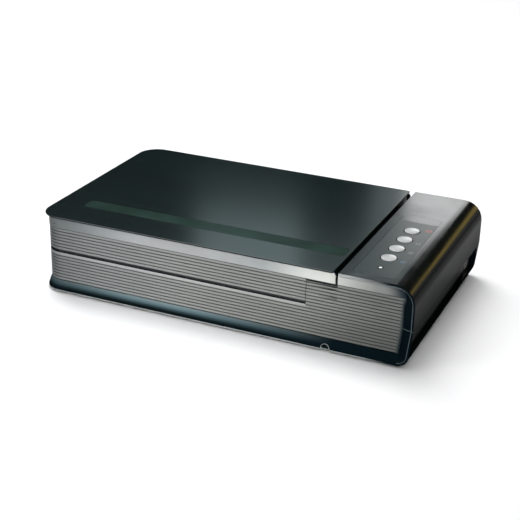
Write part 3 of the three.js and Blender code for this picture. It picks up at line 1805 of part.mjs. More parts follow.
function buildDrive() {
  const group = new THREE.Group();
  const slideLeft = idlerX - slideHalf + slideLength;
  const springZ = slideBottom - slideTab / 2;
  group.add(
    piece("guide_rod", guideRod(), steel),
    piece("rod_bracket_left", rodBracket(-1), darkPlastic),
    piece("rod_bracket_right", rodBracket(1), darkPlastic),
    piece("slide_rail", slideRail(), zinc),
    piece("motor_plate", motorPlate(), zinc),
    piece("motor", motor(), zinc, [motorX, motorY, 0]),
    piece("motor_pinion", motorPinion(), steel, [motorX, motorY, 0]),
    piece("gear_pin", gearPin(), steel, [driveX, beltRearY, 0]),
    piece("drive_gear", driveGear(), gearWhite, [driveX, beltRearY, 0]),
    piece("idler_pulley", idlerPulley(), gearWhite, [idlerX, beltRearY, 0]),
    piece("idler_slide", idlerSlide(), zinc, [idlerX, beltRearY, 0]),
    piece("belt_spring", beltSpring(), steel, [slideLeft, beltRearY, springZ]),
    piece("drive_belt", driveBelt(), rubberBlack),
    piece("ribbon_cable", ribbonCable(), whitePlastic),
  );
  return group;
}

function buildCarriage() {
  const group = new THREE.Group();
  group.add(
    piece("carriage_body", carriageBody(), darkPlastic),
    piece("carriage_bushing", carriageBushing(), gearWhite),
    piece("light_bar", lightBar(), whitePlastic),
    piece("sensor_board", sensorBoard(), boardGreen),
    piece("belt_clip", beltClip(), darkPlastic),
  );
  return group;
}

function buildLid() {
  const group = new THREE.Group();
  group.add(
    piece("lid_plate", lidPlate(), blackShell),
    piece("lid_frame", lidFrame(), pageSilver),
    piece("lid_stripe", stripeBody(0, height - stripeDepth, height), stripeGloss),
    piece("lid_liner", lidLiner(), whitePlastic),
    piece("document_pad", documentPad(), whitePlastic),
  );
  hingePlaces.forEach((x, i) => {
    const place = [x, hingeY, hingeZ];
    group.add(piece(`hinge_arm_${i + 1}`, hingeArm(), zinc, place));
  });
  return group;
}

function buildHinges() {
  const group = new THREE.Group();
  hingePlaces.forEach((x, i) => {
    const place = [x, hingeY, hingeZ];
    group.add(piece(`hinge_post_${i + 1}`, hingePost(), darkPlastic, place));
    group.add(piece(`hinge_pin_${i + 1}`, hingePin(), steel, place));
  });
  return group;
}

const scanner = new THREE.Group();
scanner.position.set(-length / 2, -depth / 2, 0);
scanner.add(buildCase(), buildButtons(), buildPorts(), buildDrive(), buildCarriage(), buildLid(), buildHinges());

const model = new THREE.Group();
model.add(scanner);

export default model;
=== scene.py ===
# Looks of the book scanner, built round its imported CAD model. Metres, in the part's own frame.
from math import atan2, cos, pi, radians, sin, sqrt, tan

import bmesh
import bpy
from mathutils import Matrix, Vector
from mathutils.geometry import tessellate_polygon

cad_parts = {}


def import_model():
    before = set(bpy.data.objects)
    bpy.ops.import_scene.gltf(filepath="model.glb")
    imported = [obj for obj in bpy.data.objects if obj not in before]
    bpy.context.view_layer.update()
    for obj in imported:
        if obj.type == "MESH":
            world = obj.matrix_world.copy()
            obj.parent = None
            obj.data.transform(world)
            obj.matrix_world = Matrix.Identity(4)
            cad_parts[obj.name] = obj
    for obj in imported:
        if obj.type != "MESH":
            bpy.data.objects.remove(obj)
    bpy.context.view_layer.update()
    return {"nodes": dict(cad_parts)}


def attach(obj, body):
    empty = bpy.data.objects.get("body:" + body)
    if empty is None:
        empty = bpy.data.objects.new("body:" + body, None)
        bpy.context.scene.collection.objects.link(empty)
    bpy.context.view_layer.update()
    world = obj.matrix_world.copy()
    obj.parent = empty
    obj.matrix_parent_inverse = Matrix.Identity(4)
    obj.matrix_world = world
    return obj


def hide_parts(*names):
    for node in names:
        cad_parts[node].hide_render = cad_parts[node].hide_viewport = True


# Whole machine, drawn from the loose front corner of the covers as in the part's source
LENGTH = 0.491
DEPTH = 0.291
HEIGHT = 0.103
CORNER = Vector((-LENGTH / 2, -DEPTH / 2, 0.0))
GAP = 0.0003

# Fineness of the meshes: steps of curves and runs, and distances and angles that count as none
CURVE_STEPS = 20
ROUND_STEPS = 64
LIGHT_STEPS = 40
FLOOR_STEPS = 96
EDGE_STEPS = 5
BEND_STEPS = 6
FADE_STEPS = 6
NOSE_STEPS = 8
SHOULDER_STEPS = 4
BAND_STEPS = 8
HALVINGS = 24
MERGE_DISTANCE = 0.0000005
CAD_MERGE_DISTANCE = 0.000001
SAME_HEIGHT = 1e-9
SMOOTH_ANGLE = radians(32)
SHARPEST_LEAN = 0.3

# Covers
WALL = 0.0022
COVER_CORNER = 0.028
FLOOR_BOTTOM = 0.003
PANEL_LEFT = 0.3995
SEAM_HEIGHT = 0.0485
BEZEL_WIDTH = 0.0132
SPINE_LEAN = radians(6)
SPINE_TOP_RADIUS = 0.024
SPINE_TOP_X = LENGTH - SPINE_TOP_RADIUS
SPINE_TOP_Z = HEIGHT - SPINE_TOP_RADIUS
SPINE_FOOT_RADIUS = 0.014
SPINE_FOOT_Z = FLOOR_BOTTOM + SPINE_FOOT_RADIUS
SPINE_FOOT_REACH = SPINE_FOOT_RADIUS + (SEAM_HEIGHT - SPINE_FOOT_Z) * sin(SPINE_LEAN)
SPINE_FOOT_X = LENGTH - SPINE_FOOT_REACH / cos(SPINE_LEAN)

# Snap notch in the front curb: left, right, foot and top
SNAP = (0.3815, 0.3925, 0.0046, 0.0106)

# Bead inside the covers' lip, as (inward from the lip's edge, back from its face) points; its pale colour is
# a painted highlight on the lip's edge.
# Beside the panel it widens into a strip.
BEAD_INNER = 0.0024
BEAD_OUTER = 0.0032
BEAD_FRONT = 0.0005
BEAD_BACK = 0.0012
BEAD_ROUND = (BEAD_OUTER - BEAD_INNER) / 4
BEAD_SECTION = (
    (BEAD_INNER, BEAD_BACK),
    (BEAD_INNER, BEAD_FRONT + BEAD_ROUND),
    (BEAD_INNER + BEAD_ROUND, BEAD_FRONT),
    (BEAD_OUTER - BEAD_ROUND, BEAD_FRONT),
    (BEAD_OUTER, BEAD_FRONT + BEAD_ROUND),
    (BEAD_OUTER, BEAD_BACK),
)
STRIP_SECTION = (
    (0.0024, 0.004),
    (0.0024, 0.0008),
    (0.0026, 0.0005),
    (0.0032, 0.0006),
    (0.0062, 0.0038),
    (0.0062, 0.004),
)

# Page block: insets from the covers' outline, heights, and places along the front
PAGE_INSET = 0.0045
PAGE_INNER = 0.0075
GROOVE_DEPTH = 0.0012
EDGE_TURN = 0.00005
BAND_INSET = 0.0041
BAND_SHOULDER = 0.0006
BAND_BOTTOM = 0.0865
PAGES_BOTTOM = 0.0163
PAGE_COUNT = 17
LID_PAGE_COUNT = 7
PAGE_PITCH = (BAND_BOTTOM - PAGES_BOTTOM) / PAGE_COUNT
PART_HEIGHT = BAND_BOTTOM - LID_PAGE_COUNT * PAGE_PITCH
BASE_PART_TOP = PART_HEIGHT - 0.0032
LID_PART_BOTTOM = PART_HEIGHT - GAP
PLAIN_BOARD = PART_HEIGHT - PAGE_PITCH * 1.7
BLOCK_LEFT = 0.3977
BLOCK_TOP = 0.1005
BLOCK_NOSE = 0.003
STEP_LEFT = 0.3596
STEP_TOP = 0.0843
SKIRT_RIGHT = 0.3588
SKIRT_BACK = 0.263
REAR_START = 0.2638
REAR_TOP = 0.0815
HAIR = 0.00001

# Where the grooves and the painted shade fade: near a corner, round it, and near the spine as shares of a
# reach
PAGE_FADE = 0.006
CORNER_FADE = (radians(36), radians(58))
END_REACH = 0.032
END_FADE = 0.15
END_FADE_BAND = 0.7
END_SHARES = (0.0, 0.02, 0.04, 0.065, 0.09, 0.12, 0.15, 0.25, 0.4, 0.55, 0.7, 1.0)

# One board and the groove under it: shares of the pitch upward, and of the groove's depth
BOARD_PROFILE = (
    (0.0, 1.0),
    (0.08, 0.9),
    (0.16, 0.55),
    (0.24, 0.18),
    (0.34, 0.0),
    (0.7, 0.0),
    (0.8, 0.14),
    (0.88, 0.5),
    (0.94, 0.88),
)

# Lid
LID_FRAME_RIGHT = 0.3945
LID_FRAME_TOP = 0.1009
LID_NOSE = 0.004
# Beyond this, the noses at the rear of the gaps take painted shade
DARK_NOSE = LID_FRAME_RIGHT - LID_NOSE - BLOCK_NOSE
HINGE_HEIGHT = 0.092
HINGE_PLACES = (0.061, 0.3315)
POST_NOTCH_TOP = 0.0959
POST_NOTCH_HALF = 0.0094
LID_RIGHT = 0.3925
PLATE_BOTTOM = 0.1012
PLATE_ROUND = 0.0008
PLATE_RIGHT_RADIUS = 0.003
FLANGE_LEFT = 0.3903
FLANGE_FRONT = 0.0078
FLANGE_BACK = 0.2832
STRIPE = (0.037, 0.388, 0.048, 0.071)
STRIPE_RADIUS = 0.006
STRIPE_DEPTH = 0.0006
STRIPE_CHAMFER = 0.00015

# Control panel film: left, right, front and back
OVERLAY = (0.411, 0.461, 0.014, 0.206)
OVERLAY_RADIUS = 0.005
OVERLAY_BOTTOM = 0.1022
OVERLAY_CHAMFER = 0.0001

# Buttons and status light; the collar holds each under the panel
BUTTON_X = 0.4365
BUTTON_PLACES = (0.067, 0.097, 0.127, 0.157)
BUTTON_RADIUS = 0.0093
BUTTON_HOLE = 0.0103
BUTTON_TOP = HEIGHT + 0.001
BUTTON_ROUND = 0.0007
BUTTON_CROWN = 0.0005
CROWN_SHARES = (0.85, 0.7, 0.5, 0.3, 0.12)
STEM_RADIUS = 0.0025
STEM_BOTTOM = 0.0976
COLLAR_TOP = 0.1005
BUTTON_COLLAR = 0.0016
BUTTON_COLLAR_BOTTOM = 0.0995
LIGHT_Y = 0.037
LIGHT_RADIUS = 0.0021
LIGHT_HOLE = 0.0038
LIGHT_BOTTOM = 0.0963
LIGHT_COLLAR = 0.0012
LIGHT_COLLAR_BOTTOM = 0.0993
LIGHT_DOME = 0.0005
DOME_TURNS = (0, 20, 40, 60, 78)

# Printed marks: outer and inner radius of a ring; half sizes, then the corner, of a sheet or dot
MARK_X = 0.455
MARK_PLACES = (0.0627, 0.0925, 0.122, 0.166)
MARK_HEIGHT = 0.00005
MARK_ROUND = MARK_HEIGHT / 5
RED_RING = (0.0042, 0.0028)
RED_SQUARE = (0.0013, 0.0013, 0.0003)
WIDE_SHEET = (0.0028, 0.0022)
TALL_SHEET = (0.0022, 0.0028)
SHEET_RIM = 0.0005
SHEET_RADIUS = 0.0006
SHEET_LINE = (0.0011, 0.0004, 0.0002)
BLUE_RING = (0.003, 0.0019)
BLUE_DOT = (0.0008, 0.0008, 0.0007)

# Colours, as linear light
WHITE = (1.0, 1.0, 1.0)
BLACK = (0.0024, 0.0032, 0.0026)
# Painted shade under the caps of the buttons and the status light
DEEP_SHADE = (0.004, 0.006, 0.006)
TEAL_TINT = (0.9, 1.06, 1.04)
WARM_TINT = (1.03, 1.0, 0.94)
# Painted reflection: a dark teal for the covers' faces that look ahead
FRONT_TEAL_REFLECTION = (0.003, 0.008, 0.011)
# Painted highlight: pale on the bezel's face below the panel, fading towards the spine
BEZEL_HIGHLIGHT = (0.42, 0.44, 0.44)
# Painted highlight: a thin pale line along the covers' seam
SEAM_HIGHLIGHT = (0.12, 0.15, 0.16)
# Painted highlight: a pale line along the floor sheet's edge
RIM_HIGHLIGHT = (0.36, 0.38, 0.38)
# Painted shade: the ribbed boards darker than the band
BOARD_TONE = (0.265, 0.27, 0.265)
PLAIN_BOARD_TONE = (0.385, 0.39, 0.385)
# Painted shade: the boards darker low down towards the spine
FOOT_SHADE = (0.185, 0.19, 0.185)
# Painted shade in the grooves and on the wall's inner faces
GROOVE_SHADE = (0.03, 0.033, 0.034)
# Painted shade at the page block's end by the spine, on its noses by the gaps and on its inner faces
END_SHADE_TONE = (0.005, 0.014, 0.021)
FLOOR_SEEN = (0.99, 0.992, 1.0)

# Noise: how it is stretched, which of its values are spread out, and how fine it is
EVEN = (1.0, 1.0, 1.0)
ALONG = (0.06, 1.0, 1.0)
FLAT_LINES = (0.02, 0.02, 1.0)
NOISE_SPAN = (0.3, 0.7)
NOISE_DETAIL = 4.0
GRAIN_DETAIL = 3.0
SMOOTHEST = 0.02

# Where the colours and the polish change, as (start, end) in the part's own frame.
# The first two are shares of a face's normal.
FACING_AHEAD = (0.35, 0.6)
FACING_UP = (0.5, 0.78)
BEZEL_HEIGHTS = (0.078, 0.1)
BEZEL_PLACES = (0.165, 0.214)
SEAM_START = (SEAM_HEIGHT + GAP, SEAM_HEIGHT + GAP * 2)
SEAM_END = (SEAM_HEIGHT + 0.001, SEAM_HEIGHT + 0.001 + GAP)
CURB_LEFT = (-0.24, -0.12)
CURB_LEFT_LIGHT = (0.33, 0.92)
CURB_RIGHT = (-0.05, 0.15)
RIM_START = (0.0029, 0.0031)
RIM_END = (0.0041, 0.0043)
RIM_RIGHT = (0.19, 0.215)
BAND_START = (BAND_BOTTOM - 0.0004, BAND_BOTTOM + 0.0004)
PLAIN_START = (PLAIN_BOARD, PLAIN_BOARD + 0.0008)
PLAIN_END = (BASE_PART_TOP, BASE_PART_TOP + GAP)
PLAIN_RIGHT = (STEP_LEFT - LENGTH / 2 - GAP, STEP_LEFT - LENGTH / 2)
FOOT_HEIGHTS = (0.024, 0.062)
FOOT_PLACES = (0.03, 0.15)
GROOVE_SHARE = (0.25, 1.0)
PRINT_END = 0.187 - DEPTH / 2
PRINT_EDGE = (PRINT_END - GAP, PRINT_END + GAP)
BUTTON_SHADE = (0.1014, 0.1021)
COVER_SIDE = (0.034, 0.085)
LID_SIDE = (0.02, 0.08)
LIP_FACES = (DEPTH / 2 - 0.0016, DEPTH / 2 - 0.0008)
LIP_ARC = (0.16, 0.2)

# Specular levels, and the film's and the cover's roughness
COVER_SIDE_LEVEL = 0.009
LID_SIDE_LEVEL = 0.02
TOP_LEVEL = 0.5
LIP_LEVEL = TOP_LEVEL / 10
SILVER_LEVEL = 0.15
STRIPE_LEVEL = 0.015
FLOOR_LEVEL = 0.1
FILM_ROUGHNESS = 0.3
COVER_ROUGHNESS = 0.17
CASE_ROUGHNESS = 0.26

# Tones along an axis, as (place, colour) stops: a painted highlight on the lip's bead, painted light and
# shade on the band and the boards, and a painted reflection on the curb
# Painted highlight along the lip's bead, fading towards the spine
LIP_HIGHLIGHT_TONES = (
    (0.154, WHITE),
    (0.185, (0.8, 0.82, 0.82)),
    (0.212, (0.3, 0.38, 0.41)),
    (0.235, (0.16, 0.2, 0.22)),
    (0.242, (0.3, 0.38, 0.42)),
)
# Painted light and shade along the boards: dark at the loose end, lightest in the middle, darker towards the
# spine
SILVER_LIGHT_TONES = (
    (-0.2455, (0.2, 0.22, 0.23)),
    (-0.215, (0.8, 0.83, 0.85)),
    (-0.16, (1.0, 1.03, 1.04)),
    (-0.11, (1.0, 1.02, 1.03)),
    (-0.05, (1.04, 1.05, 1.04)),
    (0.03, (0.92, 0.93, 0.91)),
    (0.1, (0.98, 1.0, 0.97)),
    (0.14, (0.92, 0.93, 0.9)),
    (0.2, (0.74, 0.76, 0.74)),
)
# Painted light and shade along the band: darker to the left, lighter towards the panel
BAND_LIGHT_TONES = (
    (-0.2455, (0.8, 0.8, 0.8)),
    (-0.215, (0.58, 0.6, 0.59)),
    (-0.17, (0.72, 0.74, 0.74)),
    (-0.11, (0.98, 0.97, 0.98)),
    (-0.03, (1.03, 1.02, 1.04)),
    (0.06, (1.04, 1.06, 1.1)),
    (0.14, (2.1, 2.06, 2.02)),
    (0.2, WHITE),
)
# Painted teal reflection on the bottom cover's curb, lighter towards its top
CURB_REFLECTION_TONES = (
    (0.007, (0.004, 0.007, 0.0074)),
    (0.0095, (0.03, 0.052, 0.06)),
    (0.0125, (0.11, 0.17, 0.19)),
    (0.0163, (0.21, 0.27, 0.285)),
)

# Materials: name, colour and roughness, then how the colour drifts (scale, amount), how the gloss
# varies (scale, amount) if it does, how the grain stands up (scale, height), and the metal if any.
# The lid is brushed along its length, and the boards have a second grain.
COVER_DRIFT = (9, 0.3, TEAL_TINT)
LID_BRUSH = ((60, 0.2, TEAL_TINT, ALONG), (300, 0.012, ALONG), (2600, 0.000006))
BOARD_GRAIN = (900, 0.00004, FLAT_LINES)
LOOKS = {
    "cover": ("cover_black", BLACK, COVER_ROUGHNESS, COVER_DRIFT, (30, 0.04), (2600, 0.000003)),
    "case": ("case_black", BLACK, CASE_ROUGHNESS, COVER_DRIFT, (30, 0.04), (2600, 0.000006)),
    "lid": ("lid_black", (0.0026, 0.0082, 0.008), 0.19, *LID_BRUSH),
    "silver": ("page_silver", (0.35, 0.36, 0.36), 0.45, (14, 0.1), (40, 0.08), (1500, 0.00001), 0.1),
    "overlay": ("overlay_grey", (0.009, 0.016, 0.015), FILM_ROUGHNESS, (24, 0.08), None, (3000, 0.000003)),
    "bed": ("bed_dark", (0.022, 0.024, 0.026), 0.55, (20, 0.2), (60, 0.08), (1800, 0.00004)),
    "stripe": ("stripe_gloss", (0.019, 0.036, 0.03), 0.14, (16, 0.3), (30, 0.04), (700, 0.00001, ALONG)),
    "button": ("button_silver", (0.5, 0.51, 0.5), 0.26, (30, 0.03), (60, 0.02), (3000, 0.000003), 0.2),
    "white": ("white_plastic", (0.78, 0.79, 0.77), 0.5, (18, 0.05), (40, 0.06), (1400, 0.00003)),
    "pad": ("document_pad", (0.82, 0.83, 0.81), 0.7, (10, 0.04), (30, 0.06), (900, 0.00008)),
    "rubber": ("rubber_black", (0.018, 0.018, 0.019), 0.85, (80, 0.3), (60, 0.08), (1200, 0.0001)),
    "board": ("board_green", (0.02, 0.13, 0.06), 0.38, (90, 0.35), (120, 0.1), (600, 0.00006)),
    "gear": ("gear_white", (0.66, 0.65, 0.58), 0.45, (50, 0.06), (80, 0.06), (1500, 0.00003)),
    "steel": ("steel", (0.56, 0.57, 0.58), 0.28, (40, 0.08), (200, 0.08, ALONG), (1800, 0.00001, ALONG), 1.0),
    "zinc": ("zinc", (0.5, 0.51, 0.5), 0.4, (70, 0.16, WARM_TINT), (90, 0.1), (900, 0.00002), 1.0),
    "light": ("status_light", (0.86, 0.9, 0.88), 0.22, (200, 0.06), (200, 0.05), (2000, 0.00001)),
    # The bead's pale colour is a painted highlight.
    "bead": ("lip_bead", (0.42, 0.43, 0.43), 0.4, (60, 0.08), (90, 0.06), (1500, 0.000006)),
    "glass": ("platen_glass", (0.93, 0.98, 0.96), 0.03, (12, 0.02), (20, 0.01), (60, 0.000004)),
}
FLOOR_LOOK = ("floor_white", (0.25, 0.25, 0.253), 0.8, (3, 0.01), None, (500, 0.00002))
MARK_COLOURS = {"red": (0.33, 0.09, 0.075), "blue": (0.06, 0.15, 0.24), "pale": (0.24, 0.28, 0.27)}
MARK_LOOK = (0.4, (200, 0.15), (200, 0.05), (3000, 0.00001))
GLASS_CLEARNESS = 0.92
GLASS_INDEX = 1.5

# Which CAD nodes get which material; the others are replaced by pieces of this script
CAD_LOOKS = {
    "cover": ["spine_cover"],
    "case": ["bottom_cover"],
    "bed": ["bed_frame", "carriage_body", "belt_clip", "port_plate", "switch_housing", "power_jack"]
    + ["rod_bracket_left", "rod_bracket_right", "hinge_post_1", "hinge_post_2"],
    "glass": ["platen_glass"],
    "overlay": ["power_rocker"],
    "white": ["lid_liner", "light_bar", "ribbon_cable"],
    "pad": ["document_pad"],
    "rubber": ["drive_belt"] + [f"foot_{i}" for i in range(1, 5)],
    "board": ["button_board", "main_board", "sensor_board"],
    "gear": ["drive_gear", "idler_pulley", "carriage_bushing"],
    "steel": ["guide_rod", "gear_pin", "motor_pinion", "hinge_pin_1", "hinge_pin_2", "belt_spring"],
    "zinc": ["slide_rail", "motor_plate", "motor", "idler_slide", "usb_socket", "hinge_arm_1", "hinge_arm_2"]
    + [f"case_screw_{i}" for i in range(1, 7)],
}

# Studio floor: radii of its flat middle, of its flat part and of the bend up to the backdrop
FLOOR_MIDDLE = 1.0
FLOOR_REACH = 5.4
FLOOR_BEND = 0.6
BACKDROP_TOP = 0.85

# World light from below to above, as (share of the way up, level), and from left to right
WORLD_STOPS = ((0.0, 0.01), (0.45, 0.015), (0.68, 0.15), (0.85, 0.95), (1.0, 1.6))
WORLD_BLUE = 1.01
WORLD_SIDES = {"From Min": -0.5, "From Max": 0.25, "To Min": 0.03, "To Max": 1.0}

# Lamps: name, place, target, width and height, watts, tint, spread in degrees
COOL_HIGH = (0.78, 1.0, 1.05)
COOL = (0.84, 1.0, 1.03)
WARM = (1.0, 0.76, 0.24)
LAMPS = (
    ("key", (-1.1, 1.1, 3.2), (0.0, 0.0, 0.05), (1.8, 3.6), 114, WHITE, 180),
    ("back_high", (-0.515, 1.1, 0.82), (-0.1, 0.0, 0.1), (0.25, 0.38), 0.375, COOL_HIGH, 180),
    ("back_wide", (-0.1, 1.1, 0.62), (0.0, 0.0, 0.1), (0.24, 0.4), 0.165, COOL, 180),
    ("back_front", (-0.3, 1.1, 0.755), (0.0, 0.0, 0.1), (0.22, 0.16), 0.072, COOL, 180),
    ("back_low", (0.04, 1.1, 0.43), (0.2, 0.1, 0.1), (0.32, 0.3), 0.88, WHITE, 180),
    ("warm_strip", (0.74, 1.25, 0.386), (0.24, 0.0, 0.1), (0.6, 0.2), 0.4, WARM, 180),
    ("front_fill", (0.9, -1.5, 0.3), (-0.03, -0.14, 0.07), (0.3, 0.3), 0.75, WHITE, 26),
    ("floor_fill", (-1.1, -1.3, 1.3), (-0.17, -0.27, 0.0), (0.4, 0.4), 0.4, WHITE, 34),
)

# Camera, fitted to the photo's edges; its lens and sensor are in millimetres
CAMERA_PLACE = (0.5663, -1.3294, 0.67129)
CAMERA_YAW = -0.40584
CAMERA_PITCH = -0.41708
CAMERA_ROLL = 0.02453
CAMERA_LENS = 84.69
CAMERA_SENSOR = 36
CAMERA_NEAR = 0.01


# Materials
def feed(tree, socket, value):
    """Gives a socket a constant or the output of another node."""
    if isinstance(value, bpy.types.NodeSocket):
        tree.links.new(value, socket)
    elif socket.type == "RGBA":
        socket.default_value = (*value, 1.0)
    else:
        socket.default_value = value


def add_node(tree, kind, inputs=None, **settings):
    """A new node with its settings made and its inputs fed."""
    node = tree.nodes.new(kind)
    for name, value in settings.items():
        setattr(node, name, value)
    for name, value in (inputs or {}).items():
        feed(tree, node.inputs[name], value)
    return node


def set_stops(ramp, stops):
    """Gives a colour ramp node, which has two stops at first, its (share, colour) stops."""
    elements = ramp.color_ramp.elements
    for i, (share, tone) in enumerate(stops):
        stop = elements[i] if i < 2 else elements.new(1.0)
        stop.position = share
        stop.color = (*tone, 1.0)


def colour_socket(sockets, name):
    """A mix node's colour socket; other kinds of value have sockets of the same name."""
    return next(socket for socket in sockets if socket.name == name and socket.type == "RGBA")


class Surface:
    """A procedural material: colour drift, fine grain in the bump and uneven gloss."""

    def __init__(self, name, base, roughness, metallic=0.0):
        self.material = bpy.data.materials.new(name)
        self.material.use_nodes = True
        self.tree = self.material.node_tree
        self.shader = self.tree.nodes["Principled BSDF"]
        self.base = base
        self.roughness = roughness
        self.set("Base Color", base)
        self.set("Roughness", roughness)
        self.set("Metallic", metallic)
        places = self.add("ShaderNodeTexCoord").outputs
        self.place = places["Object"]
        self.facing = places["Normal"]
        self.normal = None

    def add(self, kind, inputs=None, **settings):
        return add_node(self.tree, kind, inputs, **settings)

    def set(self, name, value):
        """Gives one of the shader's own sockets a constant or a varying value."""
        feed(self.tree, self.shader.inputs[name], value)
        return self

    def noise(self, scale, stretch=EVEN, detail=NOISE_DETAIL):
        place = self.add("ShaderNodeMapping", {"Vector": self.place, "Scale": stretch}).outputs["Vector"]
        inputs = {"Vector": place, "Scale": scale, "Detail": detail}
        return self.add("ShaderNodeTexNoise", inputs).outputs["Fac"]

    def spread(self, value, low, high, start, end):
        """Goes from low to high while the value goes from start to end."""
        inputs = {"Value": value, "From Min": start, "From Max": end, "To Min": low, "To Max": high}
        return self.add("ShaderNodeMapRange", inputs).outputs["Result"]

    def split(self, vector, axis):
        return self.add("ShaderNodeSeparateXYZ", {"Vector": vector}).outputs[axis]

    def size(self, value):
        return self.add("ShaderNodeMath", {0: value}, operation="ABSOLUTE").outputs["Value"]

    def combined(self, operation, values):
        """One value from several, taken two by two."""
        result = values[0]
        for value in values[1:]:
            result = self.add("ShaderNodeMath", {0: result, 1: value}, operation=operation).outputs["Value"]
        return result

    def along(self, axis, low, high, start, end):
        """Goes from low to high between two places on an axis of the piece."""
        return self.spread(self.split(self.place, axis), low, high, start, end)

    def rising(self, axis, start, end):
        return self.along(axis, 0.0, 1.0, start, end)

    def falling(self, axis, start, end):
        return self.along(axis, 1.0, 0.0, start, end)

    def facing_ahead(self):
        """One on faces that look to the front or the rear of the piece, nothing on the others."""
        return self.spread(self.size(self.split(self.facing, "Y")), 0.0, 1.0, *FACING_AHEAD)

    def mesh_share(self, name, start=0.0, end=1.0):
        """A value that the mesh carries on its points, such as how deep in a groove they lie."""
        value = self.add("ShaderNodeAttribute", attribute_name=name).outputs["Fac"]
        return self.spread(value, 0.0, 1.0, start, end)

    def mix(self, share, first, second, kind="MIX"):
        node = self.add("ShaderNodeMix", {"Factor": share}, data_type="RGBA", blend_type=kind)
        for name, value in (("A", first), ("B", second)):
            feed(self.tree, colour_socket(node.inputs, name), value)
        return colour_socket(node.outputs, "Result")

    def ramp(self, axis, stops):
        """A colour that changes along an axis of the piece, from (place, colour) stops."""
        first = stops[0][0]
        last = stops[-1][0]
        node = self.add("ShaderNodeValToRGB", {"Fac": self.rising(axis, first, last)})
        set_stops(node, [((place - first) / (last - first), tone) for place, tone in stops])
        return node.outputs["Color"]

    def recolour(self, colour):
        self.colour = colour
        return self.set("Base Color", colour)

    def paint(self, tone, *shares):
        """Blends a tone in where every share is high."""
        return self.recolour(self.mix(self.combined("MULTIPLY", shares), self.colour, tone))

    def tones(self, axis, stops):
        """Multiplies the colour by tones that change along an axis."""
        return self.recolour(self.mix(1.0, self.colour, self.ramp(axis, stops), "MULTIPLY"))

    def drift(self, scale, amount, tint=WHITE, stretch=EVEN):
        """Lets the colour drift between a darker and a lighter tone."""
        dark = tuple(c * (1 - amount) for c in self.base)
        pale = tuple(c * (1 + amount) * t for c, t in zip(self.base, tint))
        share = self.spread(self.noise(scale, stretch), 0.0, 1.0, *NOISE_SPAN)
        return self.recolour(self.mix(share, dark, pale))

    def gloss(self, scale, amount, stretch=EVEN):
        low = max(self.roughness - amount, SMOOTHEST)
        high = self.roughness + amount
        return self.set("Roughness", self.spread(self.noise(scale, stretch), low, high, *NOISE_SPAN))

    def grain(self, scale, height, stretch=EVEN):
        """A fine bump of a real height in metres."""
        inputs = {"Strength": 1.0, "Distance": height, "Height": self.noise(scale, stretch, GRAIN_DETAIL)}
        if self.normal is not None:
            inputs["Normal"] = self.normal
        self.normal = self.add("ShaderNodeBump", inputs).outputs["Normal"]
        return self.set("Normal", self.normal)

    def matt_sides(self, side_level, side_heights):
        """Polishes what faces up, less so along the spine's lips, and leaves the sides matt."""
        foot = self.along("Z", 0.0, side_level, *side_heights)
        lip = self.along("X", TOP_LEVEL, LIP_LEVEL, *LIP_ARC)
        top = self.spread(self.size(self.split(self.place, "Y")), TOP_LEVEL, lip, *LIP_FACES)
        level = self.spread(self.split(self.facing, "Z"), foot, top, *FACING_UP)
        return self.set("Specular IOR Level", level)


def plain_look(name, base, roughness, drift, gloss, grain, metallic=0.0):
    look = Surface(name, base, roughness, metallic)
    look.drift(*drift)
    if gloss:
        look.gloss(*gloss)
    return look.grain(*grain)


def dress_black(look):
    """What both covers share: polished above, matt on the sides, and a painted dark teal reflection on the
    faces that look ahead.
    """
    look.matt_sides(COVER_SIDE_LEVEL, COVER_SIDE)
    # Painted reflection: dark teal on the faces that look ahead.
    look.paint(FRONT_TEAL_REFLECTION, look.facing_ahead())


def dress_cover(look):
    """The spine cover: a painted highlight, pale ahead towards the panel, and another as a thin line along
    the seam of the covers.
    """
    ahead = look.facing_ahead()
    up = look.rising("Z", *BEZEL_HEIGHTS)
    # Painted highlight on the bezel ahead, rising towards the panel and fading towards the spine.
    look.paint(BEZEL_HIGHLIGHT, ahead, up, up, look.falling("X", *BEZEL_PLACES))
    # Painted highlight as a thin line along the seam.
    look.paint(SEAM_HIGHLIGHT, ahead, look.rising("Z", *SEAM_START), look.falling("Z", *SEAM_END))


def dress_case(look):
    """The bottom cover: a painted teal reflection along its curb, and a painted highlight as a pale line
    along the floor sheet's edge.
    """
    left = look.along("X", *CURB_LEFT_LIGHT, *CURB_LEFT)
    # Painted reflection on the curb, weaker to the left and gone towards the spine.
    look.paint(look.ramp("Z", CURB_REFLECTION_TONES), left, look.falling("X", *CURB_RIGHT))
    low = look.rising("Z", *RIM_START)
    high = look.falling("Z", *RIM_END)
    # Painted highlight along the floor sheet's edge.
    look.paint(RIM_HIGHLIGHT, low, high, look.falling("X", *RIM_RIGHT))


def dress_silver(look):
    """The page block: painted boards, with painted shade in their dark grooves, low down and at the spine,
    and painted light and shade along the front.
    """
    look.set("Specular IOR Level", SILVER_LEVEL)
    # Painted light and shade along the band.
    look.tones("X", BAND_LIGHT_TONES)
    # Painted shade: the boards below the band darker than it.
    look.paint(BOARD_TONE, look.falling("Z", *BAND_START))
    low = look.rising("Z", *PLAIN_START)
    high = look.falling("Z", *PLAIN_END)
    look.paint(PLAIN_BOARD_TONE, low, high, look.falling("X", *PLAIN_RIGHT))
    # Painted shade low down towards the spine.
    look.paint(FOOT_SHADE, look.falling("Z", *FOOT_HEIGHTS), look.rising("X", *FOOT_PLACES))
    # Painted light and shade along the boards.
    look.tones("X", SILVER_LIGHT_TONES)
    # Painted shade in the grooves and on the inner faces.
    look.paint(GROOVE_SHADE, look.mesh_share("groove", *GROOVE_SHARE))
    # Painted shade near the spine, on the noses by the gaps and on the inner faces.
    look.paint(END_SHADE_TONE, look.mesh_share("end"))
    look.grain(*BOARD_GRAIN)


